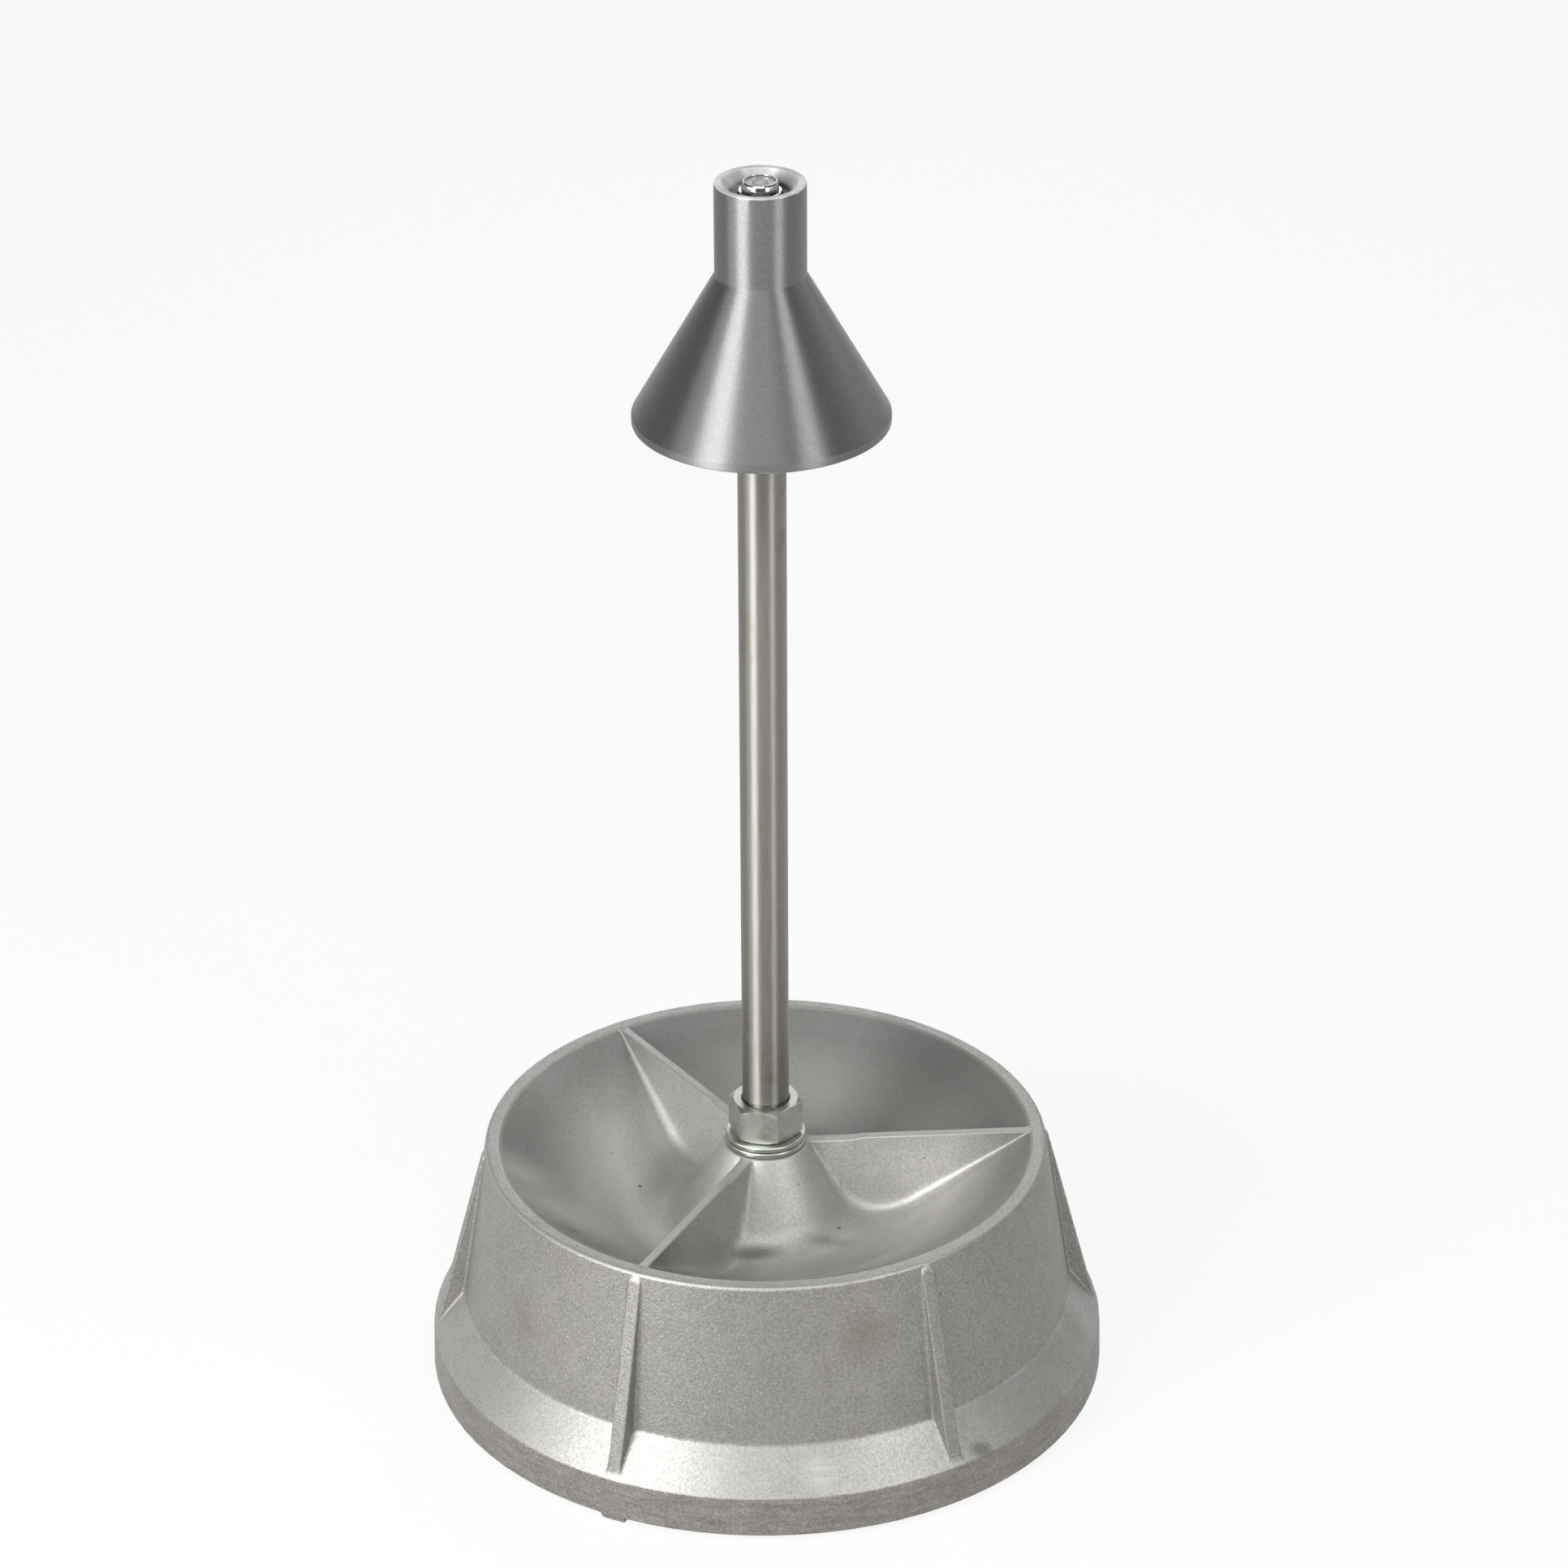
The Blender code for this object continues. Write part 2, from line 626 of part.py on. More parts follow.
def build_head(finish):
    slope = math.tan(CONE_ANGLE)
    pocket = CASE_BODY_RADIUS + 2 * (GAP + GRIP_RING_SECTION)
    recess = HEAD_RADIUS - RECESS_RIM
    cone_top = HEAD_TOP - HEAD_CYLINDER
    cone_bottom = cone_top - (CONE_FOOT_RADIUS - HEAD_RADIUS) / slope
    bottom = cone_bottom - CONE_LIP
    ceiling = HEAD_TOP - CEILING_DEPTH
    stem = HOLDER_STEM_RADIUS + GAP
    stem_top = HEAD_TOP - HOLDER_TOP_DEPTH + HOLDER_STEM_HEIGHT + GAP
    outline = [
        (0, HEAD_TOP - POCKET_DEPTH),
        (pocket, HEAD_TOP - POCKET_DEPTH),
        (pocket, HEAD_TOP - RECESS_DEPTH),
        (RECESS_FLOOR_RADIUS, HEAD_TOP - RECESS_DEPTH),
        (recess, HEAD_TOP),
        (HEAD_RADIUS, HEAD_TOP),
        (HEAD_RADIUS, cone_top),
        (CONE_FOOT_RADIUS, cone_bottom),
        (CONE_FOOT_RADIUS, bottom),
        (HEAD_BORE_RADIUS + (cone_top - bottom) * slope, bottom),
        (HEAD_BORE_RADIUS, cone_top),
        (HEAD_BORE_RADIUS, ceiling),
        (stem, ceiling),
        (stem, stem_top),
        (0, stem_top),
    ]
    rounds = {
        4: HEAD_EDGE_ROUND,
        5: HEAD_EDGE_ROUND,
        7: CONE_EDGE_ROUND,
        8: CONE_EDGE_ROUND,
    }
    head = turned("balance_head", rounded(outline, rounds), HEAD_STEPS, finish, closed=False)
    for index in range(SCREW_COUNT):
        cutter = prism(
            f"guide_screw_hole_{index + 1}", SCREW_RADIUS + GAP, SMALL_STEPS,
            ceiling - CUT_OVERRUN, HEAD_TOP - POCKET_DEPTH + CUT_OVERRUN,
        )
        cutter.location = screw_place(index)
        boolean(head, cutter, "DIFFERENCE")
    return head


def screw_place(index):
    angle = 2 * math.pi * index / SCREW_COUNT
    return SCREW_CIRCLE * math.cos(angle), SCREW_CIRCLE * math.sin(angle), 0


def build_screw(index, finish):
    top = HEAD_TOP - CASE_BOTTOM_DEPTH - GAP
    bottom = top - SCREW_LENGTH
    outline = [
        (0, bottom),
        (SCREW_RADIUS - SCREW_CHAMFER, bottom),
        (SCREW_RADIUS, bottom + SCREW_CHAMFER),
        (SCREW_RADIUS, top - SCREW_CHAMFER),
        (SCREW_RADIUS - SCREW_CHAMFER, top),
        (0, top),
    ]
    screw = turned(f"adjusting_screw_{index + 1}", outline, SMALL_STEPS, finish, closed=False)
    screw.location = screw_place(index)
    socket = prism(
        f"guide_socket_{index + 1}", SCREW_SOCKET_RADIUS, HEX_SIDES,
        bottom - CUT_OVERRUN, bottom + SCREW_SOCKET_DEPTH,
    )
    socket.location = screw_place(index)
    boolean(screw, socket, "DIFFERENCE")
    return screw


def build_level(finishes):
    metal = finishes["bright_plate"]
    glass = finishes["level_glass"]
    rubber = finishes["black_rubber"]
    case_top = HEAD_TOP - CASE_TOP_DEPTH
    case_bottom = HEAD_TOP - CASE_BOTTOM_DEPTH
    flange_bottom = case_top - CASE_FLANGE_THICKNESS
    chamber = HEAD_TOP - CHAMBER_DEPTH
    case = [
        (0, chamber),
        (CHAMBER_RADIUS, chamber),
        (CHAMBER_RADIUS, case_top),
        (CASE_FLANGE_RADIUS, case_top),
        (CASE_FLANGE_RADIUS, flange_bottom),
        (CASE_BODY_RADIUS, flange_bottom),
        (CASE_BODY_RADIUS, case_bottom),
        (0, case_bottom),
    ]
    case = rounded(case, {3: CASE_FLANGE_ROUND, 4: CASE_FLANGE_ROUND}, FINE_CORNER_STEPS)
    turned("level_case", case, LEVEL_STEPS, metal, closed=False)

    bezel_top = HEAD_TOP - BEZEL_TOP_DEPTH
    bezel = [
        (LENS_RADIUS + GAP, case_top + GAP),
        (BEZEL_RADIUS, case_top + GAP),
        (BEZEL_RADIUS, bezel_top),
        (BEZEL_OPENING_RADIUS, bezel_top),
        (BEZEL_OPENING_RADIUS, bezel_top - BEZEL_LIP),
        (LENS_RADIUS + GAP, bezel_top - BEZEL_LIP),
    ]
    turned("level_bezel", rounded(bezel, {2: BEZEL_ROUND}), LEVEL_STEPS, metal)

    lens_top = HEAD_TOP - LENS_TOP_DEPTH
    edge_bottom = HEAD_TOP - LENS_EDGE_DEPTH
    dome_edge = math.sqrt(LENS_DOME ** 2 - (edge_bottom - NEEDLE_TIP) ** 2)
    lens = dome(LENS_DOME, 0, dome_edge) + [
        (LENS_RADIUS, edge_bottom),
        (LENS_RADIUS, lens_top),
        (0, lens_top),
    ]
    turned("level_lens", lens, LEVEL_STEPS, glass, closed=False)

    gasket_top = HEAD_TOP - GASKET_TOP_DEPTH
    gasket_bottom = HEAD_TOP - GASKET_BOTTOM_DEPTH
    gasket = [
        (LENS_RADIUS - GASKET_WIDTH, gasket_bottom),
        (LENS_RADIUS, gasket_bottom),
        (LENS_RADIUS, gasket_top),
        (LENS_RADIUS - GASKET_WIDTH, gasket_top),
    ]
    turned("lens_gasket", gasket, LEVEL_STEPS, rubber)

    ring_bottom = lens_top + GAP
    ring_top = ring_bottom + TARGET_RING_THICKNESS
    target = [
        (TARGET_RING_RADIUS, ring_bottom),
        (TARGET_RING_RADIUS + TARGET_RING_WIDTH, ring_bottom),
        (TARGET_RING_RADIUS + TARGET_RING_WIDTH, ring_top),
        (TARGET_RING_RADIUS, ring_top),
    ]
    turned("target_ring", target, LEVEL_STEPS, finishes["black_ink"])

    backing_bottom = chamber + GAP
    backing_top = backing_bottom + BACKING_THICKNESS
    backing = [
        (0, backing_bottom),
        (CHAMBER_RADIUS - GAP, backing_bottom),
        (CHAMBER_RADIUS - GAP, backing_top),
        (0, backing_top),
    ]
    turned("level_backing", backing, LEVEL_STEPS, finishes["pale_disc"], closed=False)

    fluid_edge = CHAMBER_RADIUS - GAP
    fluid = dome(FLUID_DOME, 0, fluid_edge) + [
        (fluid_edge, backing_top + GAP),
        (0, backing_top + GAP),
    ]
    turned("level_fluid", fluid, LEVEL_STEPS, finishes["level_liquid"], closed=False)

    bubble = dome(BUBBLE_TOP_DOME, 0, BUBBLE_RADIUS)
    bubble += reversed(dome(BUBBLE_BOTTOM_DOME, 0, BUBBLE_RADIUS))
    turned("air_bubble", bubble, SMALL_STEPS, glass, closed=False)

    ring_centre = CASE_BODY_RADIUS + GAP + GRIP_RING_SECTION
    ring_height = flange_bottom - GAP - GRIP_RING_SECTION
    section = []
    for step in range(GRIP_RING_STEPS):
        angle = 2 * math.pi * step / GRIP_RING_STEPS
        section.append((
            ring_centre + GRIP_RING_SECTION * math.cos(angle),
            ring_height + GRIP_RING_SECTION * math.sin(angle),
        ))
    turned("grip_ring", section, LEVEL_STEPS, rubber)


def main():
    clear_scene()
    finishes = {}
    for name, (colour, roughness, metallic) in FINISHES.items():
        finishes[name] = material(name, colour, roughness, metallic)

    build_base(finishes["cast_aluminium"])
    build_rod(finishes["ground_steel"])
    build_flat_washer(finishes["zinc_plate"])
    build_spring_washer(finishes["zinc_plate"])
    build_nut(finishes["zinc_plate"])
    build_needle(finishes["hard_steel"])
    build_seat(finishes["hard_steel"])
    build_holder(finishes["hard_steel"])
    build_head(finishes["turned_aluminium"])
    build_level(finishes)
    for index in range(SCREW_COUNT):
        build_screw(index, finishes["hard_steel"])


main()
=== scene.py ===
"""Looks of the bubble wheel balancer.

Fine pieces and procedural materials for the cast base, the rod with its nut and washers, the cone head
and the round level, set on the packed model, with a plain studio and the photograph's camera.
All lengths are metres, in the packed model's frame.
"""
import math
from collections import namedtuple

import bmesh
import bpy
from bpy.props import FloatProperty, FloatVectorProperty, IntProperty, PointerProperty
from mathutils import Matrix, Vector, noise


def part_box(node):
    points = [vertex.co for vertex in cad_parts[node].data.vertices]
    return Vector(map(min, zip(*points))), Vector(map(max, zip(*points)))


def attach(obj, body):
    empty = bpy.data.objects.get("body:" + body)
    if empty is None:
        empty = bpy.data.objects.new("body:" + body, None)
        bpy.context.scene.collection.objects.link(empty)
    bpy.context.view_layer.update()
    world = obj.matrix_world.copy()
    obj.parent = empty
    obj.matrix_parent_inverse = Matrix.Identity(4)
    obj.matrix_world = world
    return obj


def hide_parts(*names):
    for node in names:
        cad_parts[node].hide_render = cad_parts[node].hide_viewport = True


bl_info = {
    "name": "Bubble Wheel Balancer",
    "version": (1, 0, 0),
    "blender": (4, 5, 0),
    "location": "3D View > Sidebar > Balancer",
    "description": "Builds the visible pieces and materials of a bubble wheel balancer",
    "category": "Object",
}

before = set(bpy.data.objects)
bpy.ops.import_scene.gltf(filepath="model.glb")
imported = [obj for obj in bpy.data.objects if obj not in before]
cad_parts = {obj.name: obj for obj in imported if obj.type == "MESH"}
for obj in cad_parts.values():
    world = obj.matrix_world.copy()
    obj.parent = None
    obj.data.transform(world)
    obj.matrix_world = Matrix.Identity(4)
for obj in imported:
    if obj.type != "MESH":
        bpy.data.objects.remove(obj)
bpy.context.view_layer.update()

# Cast base, outline from the ground up
FOOT_HEIGHT = 0.0030
LIP_RADIUS = 0.1495
LIP_TOP_RADIUS = 0.1490
LIP_TOP = 0.0214
FLANGE_RADIUS = 0.1350
FLANGE_TOP = 0.0400
RIM_RADIUS = 0.1238
RIM_TOP = 0.1120
RIM_INNER_RADIUS = 0.1180
TRAY_FLOOR_RADIUS = 0.0595
TRAY_FLOOR = 0.0750
BOSS_FOOT_RADIUS = 0.0380
BOSS_TOP_RADIUS = 0.0188
BOSS_TOP = 0.1112
TRAY_CURVE = 0.0340
BOSS_FOOT_CURVE = 0.0200
HUB_RADIUS = 0.0240
HUB_BOTTOM = 0.0600
THREAD_HOLE_RADIUS = 0.0098
CASTING_WALL = 0.0045

# Cast base, ribs and feet
RIB_PLACES = 6
TRAY_RIB_CREST = 0.1116
TRAY_RIB_LOW_CREST = 0.1108
TRAY_RIB_STEP_START = 0.0390
TRAY_RIB_STEP_END = 0.0420
WALL_RIB_TOP = Vector((0.1249, 0.1102))
WALL_RIB_FOOT = Vector((0.1479, 0.0214))
WALL_RIB_END_ROWS = 0.1035
PITS = ((-0.0551, 0.0210, 0.0764, 0.0013), (0.0308, -0.0229, 0.0778, 0.0012))
# Dark spots (x, y, z, size): the first is painted shade on the tray floor between the boss and the front
# rib, the second a dark spot low on the outer side. The faint spot below is painted shade in the tray
# beside the boss.
SHADE_AND_DARK_SPOTS = ((-0.0070, -0.0390, 0.0770, 0.0052), (0.0856, -0.1198, 0.0236, 0.0045))
FAINT_SHADE_SPOTS = ((0.0260, -0.0320, 0.0775, 0.0050),)
BROWN_STAINS = (
    (-0.0867, -0.0577, 0.1046, 0.0100), (-0.0757, -0.0734, 0.1053, 0.0110),
    (-0.1101, -0.0708, 0.0666, 0.0110), (0.0351, -0.1228, 0.0863, 0.0150),
)
# Painted light: lighter patches (x, y, z, size) on the left of the tray, where light from the back right
# falls.
LIGHT_POOL_PATCHES = ((-0.0930, -0.0340, 0.0990, 0.0270), (-0.1070, -0.0130, 0.1060, 0.0200))
RUBBED_SPOTS = ((0.0140, -0.1419, 0.0298, 0.0095),)
ROD_STAINS = ((0.0020, -0.0100, 0.1480, 0.0045),)
FOOT_WIDTH = 0.0110
FOOT_INNER_RADIUS = 0.1431
FOOT_OUTER_RADIUS = 0.1481
BLEND_LENGTH = 0.0005

# Rod, nut and washers
ROD_RADIUS = 0.01025
THREAD_RADIUS = 0.0095
ROD_BOTTOM = 0.0620
ROD_SHOULDER = 0.1331
ROD_TOP = 0.5366
ROD_FOOT_CHAMFER = 0.0008
ROD_STEP_CHAMFER = 0.0012
ROD_TOP_CHAMFER = 0.0010
NEEDLE_HOLE_RADIUS = 0.0018
NEEDLE_HOLE_BOTTOM = 0.5263
NUT_ACROSS_FLATS = 0.0288
NUT_BOTTOM = 0.1168
NUT_TOP = 0.1328
NUT_TURN = math.radians(15.1)
NUT_CROWN_ANGLE = math.radians(30.0)
NUT_CROWN_INSET = 0.0003
NUT_HOLE_CHAMFER = 0.0011
HEX_SIDES = 6
SPRING_WASHER_RADIUS = 0.0177
SPRING_WASHER_SPLIT = math.radians(7.0)
SPRING_WASHER_SPLIT_AT = math.radians(75.0)
FLAT_WASHER_RADIUS = 0.0180
WASHER_HOLE_RADIUS = 0.0099
WASHER_ROUND = 0.0007

# Head, down from its top
HEAD_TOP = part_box("balance_head")[1].z
NEEDLE_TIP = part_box("pivot_needle")[1].z
HEAD_RADIUS = 0.01905
HEAD_CYLINDER = 0.0400
CONE_SLOPE = math.tan(math.radians(29.5))
CONE_FOOT_RADIUS = 0.0540
CONE_LIP = 0.0040
HEAD_BORE_RADIUS = 0.0127
RECESS_RIM = 0.0030
RECESS_DEPTH = 0.0048
RECESS_FLOOR_RADIUS = 0.0123
POCKET_RADIUS = 0.0094
POCKET_GAP = 0.0007
STEM_HOLE_RADIUS = 0.0029
STEM_HEIGHT = 0.0040
STEM_GAP = 0.0003
SCREW_HOLE_RADIUS = 0.0018
SCREW_HOLE_SIDES = 24
SCREW_CIRCLE = 0.0060
ADJUSTING_SCREWS = ("adjusting_screw_1", "adjusting_screw_2", "adjusting_screw_3")
NICKS = (
    (-112.0, 0.00024), (-96.0, 0.00016), (-68.0, 0.00026), (-62.0, 0.00018),
    (-38.0, 0.00050), (-20.0, 0.00018), (120.0, 0.00012), (196.0, 0.00016),
)
NICK_REACH = 0.0013

# Level
BEZEL_OPENING_RADIUS = 0.0066
BEZEL_LEAN = 0.00055
BEZEL_TOP = 0.0006
BEZEL_STRAIGHT = 0.0011
BEZEL_CHAMFER = 0.0004
LENS_RADIUS = 0.0070
LENS_GAP = 0.0003
DOME_LAND = 0.0001
DOME_STEPS = 10
BUBBLE_GAP = 0.0003
BUBBLE_THICKNESS = 0.0010
BUBBLE_STEPS = 32
BUBBLE_SWELL = 0.5
BUBBLE_FLATNESS = 0.6
CHAMBER_RADIUS = 0.0058
READING_RING_RADIUS = 0.0028
CASE_FLANGE_RADIUS = 0.00905
CASE_BODY_RADIUS = 0.0076
CASE_FLOOR = 0.0012
CASE_FLANGE_THICKNESS = 0.0012
LEVEL_SUPPORT = 0.0001

# Stage
LIGHT_TARGET = 0.25
BACKDROP_SIDES = 96
BACKDROP_CURVE = 1.2
BACKDROP_SHARE = 0.17
BACKDROP_START = 0.55
BACKDROP_STEPS = 8
LAMP_DISTANCE = 2.0
SENSOR_WIDTH = 36.0
LAMPS = (
    ("left_softbox", -48, 18, 0.90, 1.20, 11.7),
    ("side_softbox", -75, 12, 0.70, 1.00, 2.3),
    ("right_softbox", 42, 24, 0.60, 1.10, 6.7),
    ("top_softbox", -14, 55, 1.80, 0.85, 3.7),
    ("back_softbox", 138, 46, 0.90, 0.90, 2.1),
    ("rear_softbox", 178, 23, 1.30, 0.70, 1.8),
)


def length_setting(name, description, default):
    return FloatProperty(name=name, description=description, default=default, unit="LENGTH")


def colour_setting(name, description, default):
    return FloatVectorProperty(name=name, description=description, default=default, size=3, subtype="COLOR")


class CastingSettings(bpy.types.PropertyGroup):
    """Sizes and colours of the cast base."""
    tray_rib_width: length_setting("Tray rib width", "Width of a tray rib at its crest", 0.0046)
    wall_rib_width: length_setting("Outer rib width", "Width of an outer rib at its edge", 0.0062)
    rib_round: length_setting("Rib round", "Round along the crest of each rib", 0.0008)
    tray_fillet: length_setting("Tray rib fillet", "Fillet at the foot of a tray rib", 0.0075)
    wall_fillet: length_setting("Outer rib fillet", "Fillet at the foot of an outer rib", 0.0014)
    waviness: length_setting("Waviness", "How far the cast surface sinks in its low places", 0.00022)
    colour: colour_setting("Colour", "Rough outer side", (0.260, 0.252, 0.237))
    # Painted light: up-facing places such as the flange get this lighter colour, as if lit from above; they
    # are also smoother.
    flange_painted_light_colour: colour_setting("Flange colour", "Smoother flange", (0.388, 0.380, 0.364))
    tray_colour: colour_setting("Tray colour", "Inside of the tray", (0.385, 0.378, 0.364))
    # The rim's bare top; its lighter colour also paints the light that falls on it from above.
    bare_and_lit_rim_colour: colour_setting("Rim colour", "Bare top of the rim", (0.450, 0.443, 0.428))
    lip_colour: colour_setting("Lip colour", "Worn lip at the foot", (0.192, 0.183, 0.169))
    stain_colour: colour_setting("Stain colour", "Old oil stains", (0.190, 0.165, 0.130))


class RodSettings(bpy.types.PropertyGroup):
    """Sizes and colours of the rod, the nut and the washers."""
    steps: IntProperty(name="Facets", description="Facets round the rod and the washers", default=96)
    edge_round: length_setting("Edge round", "Round along the edges of the nut", 0.00022)
    colour: colour_setting("Rod colour", "Ground steel", (0.318, 0.306, 0.282))
    zinc_colour: colour_setting("Zinc colour", "Zinc plating", (0.57, 0.595, 0.54))


class HeadSettings(bpy.types.PropertyGroup):
    """Sizes and colours of the balance head and the pivot inside it."""
    steps: IntProperty(name="Facets", description="Facets round the head", default=144)
    edge_round: length_setting("Edge round", "Round along the edges of the head", 0.0006)
    line_spacing: length_setting("Tool line spacing", "Distance between the fine turned lines", 0.00035)
    colour: colour_setting("Colour", "Turned aluminium", (0.252, 0.252, 0.254))
    # Painted light: the head's up-facing top gets this lighter colour, as if lit from above.
    lit_top_colour: colour_setting("Top colour", "Rubbed top of the head", (0.680, 0.680, 0.675))
    steel_colour: colour_setting("Hardened steel colour", "Needle, cup and screws", (0.34, 0.34, 0.35))


class LevelSettings(bpy.types.PropertyGroup):
    """Sizes and colours of the round level."""
    steps: IntProperty(name="Facets", description="Facets round the level", default=96)
    bezel_round: length_setting("Bezel round", "Round below the top edge of the bezel", 0.0006)
    plate_colour: colour_setting("Plating colour", "Bright plating", (0.74, 0.74, 0.73))
    liquid_colour: colour_setting("Liquid colour", "Tint of the liquid", (0.93, 0.96, 0.90))
    backing_colour: colour_setting("Disc colour", "Disc under the liquid", (0.88, 0.90, 0.87))


class StageSettings(bpy.types.PropertyGroup):
    """Camera, lamps, floor and world."""
    camera_place: FloatVectorProperty(
        name="Camera place", description="Where the camera stands",
        default=(-0.12766825, -2.21874594, 1.45039934), size=3, subtype="TRANSLATION")
    camera_turn: FloatVectorProperty(
        name="Camera turn", description="Rotation of the camera",
        default=(1.08884488, 0.00372164, -0.06332152), size=3, subtype="EULER")
    lens: FloatProperty(name="Lens", description="Focal length in millimetres", default=134.7188)
    floor_radius: length_setting("Floor radius", "Radius of the floor", 14.0)
    floor_colour: colour_setting("Floor colour", "Colour of the floor", (0.86, 0.86, 0.86))
    floor_white: FloatProperty(
        name="Floor white", description="Share of plain white in the floor as it is seen", default=0.88)
    world_strength: FloatProperty(
        name="World strength", description="Brightness of the room", default=0.09)


# Mesh tools

ON_AXIS = 1e-7
WIDE_ROUND = 0.004
ROUND_ROOM = 0.48
SUPPORT_ROOM = 0.25
SUPPORT_CLEARANCE = 1.5
CUT_MARGIN = 0.002
SHARP_ANGLE = math.radians(32)
SOFT_EDGE_ANGLE = math.radians(25)


def around(radius, angle, height):
    """Point at an angle about Z."""
    return radius * math.cos(angle), radius * math.sin(angle), height


def quarter_turn(steps):
    """Sine and cosine at even steps over a quarter turn."""
    turns = [math.pi / 2 * step / steps for step in range(steps + 1)]
    return [(math.sin(turn), math.cos(turn)) for turn in turns]


def add_object(name, data):
    made = bpy.data.objects.new(name, data)
    bpy.context.scene.collection.objects.link(made)
    return made


def finish_mesh(name, data, material, sharp_angle=SHARP_ANGLE):
    bmesh.ops.recalc_face_normals(data, faces=data.faces)
    mesh = bpy.data.meshes.new(name)
    data.to_mesh(mesh)
    data.free()
    mesh.shade_smooth()
    mesh.set_sharp_from_angle(angle=sharp_angle)
    if material:
        mesh.materials.append(material)
    return add_object(name, mesh)


def arc_points(before, corner, after, size, steps):
    """Arc that rounds a corner, as points, no larger than its neighbours leave room for."""
    to_before = before - corner
    to_after = after - corner
    half = to_before.angle(to_after) / 2
    room = min(to_before.length, to_after.length) * ROUND_ROOM
    reach = min(size / math.tan(half), room)
    radius = reach * math.tan(half)
    middle = (to_before.normalized() + to_after.normalized()).normalized()
    centre = corner + middle * (radius / math.sin(half))
    start = corner + to_before.normalized() * reach - centre
    end = corner + to_after.normalized() * reach - centre
    sweep = start.angle_signed(end)
    points = []
    for step in range(steps + 1):
        turned = start.copy()
        turned.rotate(Matrix.Rotation(-sweep * step / steps, 2))
        points.append(centre + turned)
    return points


def corner_arcs(corners, closed, steps):
    """The points that take the place of each corner (radius, height, round, ...)."""
    places = [Vector(corner[:2]) for corner in corners]
    arcs = []
    for index, (place, corner) in enumerate(zip(places, corners)):
        if corner[2] and (closed or 0 < index < len(corners) - 1):
            after = places[(index + 1) % len(places)]
            fine = steps * 2 if corner[2] > WIDE_ROUND else steps
            arcs.append(arc_points(places[index - 1], place, after, corner[2], fine))
        else:
            arcs.append([place])
    return arcs


def side_points(start, end, spacing, support):
    """Points between two ends, with one close to each end that holds the shading."""
    length = (end - start).length
    near = min(support, length * SUPPORT_ROOM) / length
    shares = [near]
    count = max(1, round(length / spacing))
    for step in range(1, count):
        share = step / count
        if near * SUPPORT_CLEARANCE < share < 1 - near * SUPPORT_CLEARANCE:
            shares.append(share)
    shares.append(1 - near)
    return [start.lerp(end, share) for share in shares]


def fine_outline(corners, closed=True, steps=5, spacing=0.012, support=0.0003):
    """Outline of (radius, height) points from corners, each (radius, height, round)."""
    arcs = corner_arcs(corners, closed, steps)
    points = []
    for index, arc in enumerate(arcs):
        points += arc
        if index == len(arcs) - 1 and not closed:
            break
        following = arcs[(index + 1) % len(arcs)][0]
        if (following - arc[-1]).length > support * 3:
            points += side_points(arc[-1], following, spacing, support)
    return points


def bridge(data, lower, upper):
    """Faces between two closed rings of vertices, which may share a vertex on the axis."""
    for step in range(len(lower)):
        after = (step + 1) % len(lower)
        corners = list(dict.fromkeys((lower[step], lower[after], upper[after], upper[step])))
        if len(corners) > 2:
            data.faces.new(corners)


def turned_piece(name, outline, steps, material, closed=True):
    """Piece turned about Z from (radius, height) points; an open outline ends on the axis."""
    data = bmesh.new()
    rings = []
    for across, height in outline:
        if across < ON_AXIS:
            rings.append([data.verts.new((0, 0, height))] * steps)
        else:
            turns = [2 * math.pi * step / steps for step in range(steps)]
            rings.append([data.verts.new(around(across, turn, height)) for turn in turns])
    pairs = list(zip(rings, rings[1:]))
    if closed:
        pairs.append((rings[-1], rings[0]))
    for lower, upper in pairs:
        bridge(data, lower, upper)
    return finish_mesh(name, data, material)


def prism(name, radius, sides, bottom, top, turn=0.0, place=(0, 0)):
    """Upright cutter with flat sides."""
    data = bmesh.new()
    lower = []
    upper = []
    for side in range(sides):
        x, y, _ = around(radius, turn + 2 * math.pi * side / sides, 0)
        lower.append(data.verts.new((place[0] + x, place[1] + y, bottom)))
        upper.append(data.verts.new((place[0] + x, place[1] + y, top)))
    data.faces.new(lower)
    data.faces.new(upper)
    bridge(data, lower, upper)
    return finish_mesh(name, data, None)


def cut(piece, cutters, operation):
    """Applies a Boolean of each cutter to the piece and removes the cutters."""
    for cutter in cutters:
        step = piece.modifiers.new(cutter.name, "BOOLEAN")
        step.operation = operation
        step.solver = "EXACT"
        step.object = cutter
    apply_modifiers(piece)
    for cutter in cutters:
        bpy.data.objects.remove(cutter, do_unlink=True)


def apply_modifiers(piece):
    bpy.context.view_layer.update()
    graph = bpy.context.evaluated_depsgraph_get()
    shaped = bpy.data.meshes.new_from_object(piece.evaluated_get(graph))
    piece.modifiers.clear()
    piece.data = shaped


def soft_edges(piece, width):
    bevel = piece.modifiers.new("soft edges", "BEVEL")
    bevel.width = width
    bevel.segments = 2
    bevel.limit_method = "ANGLE"
    bevel.angle_limit = SOFT_EDGE_ANGLE
    bevel.harden_normals = True
    apply_modifiers(piece)


def stand_for(piece, body, slot, *nodes):
    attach(piece, body)
    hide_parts(*nodes)


def paint(node, material):
    """Gives a material to a node that keeps its own solid."""
    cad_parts[node].data.materials[0] = material


# Material tools

def shade(colour, scale):
    return tuple(part * scale for part in colour)


def titled(values):
    """The values by the names that their sockets carry."""
    return {name.replace("_", " ").capitalize(): value for name, value in values.items()}


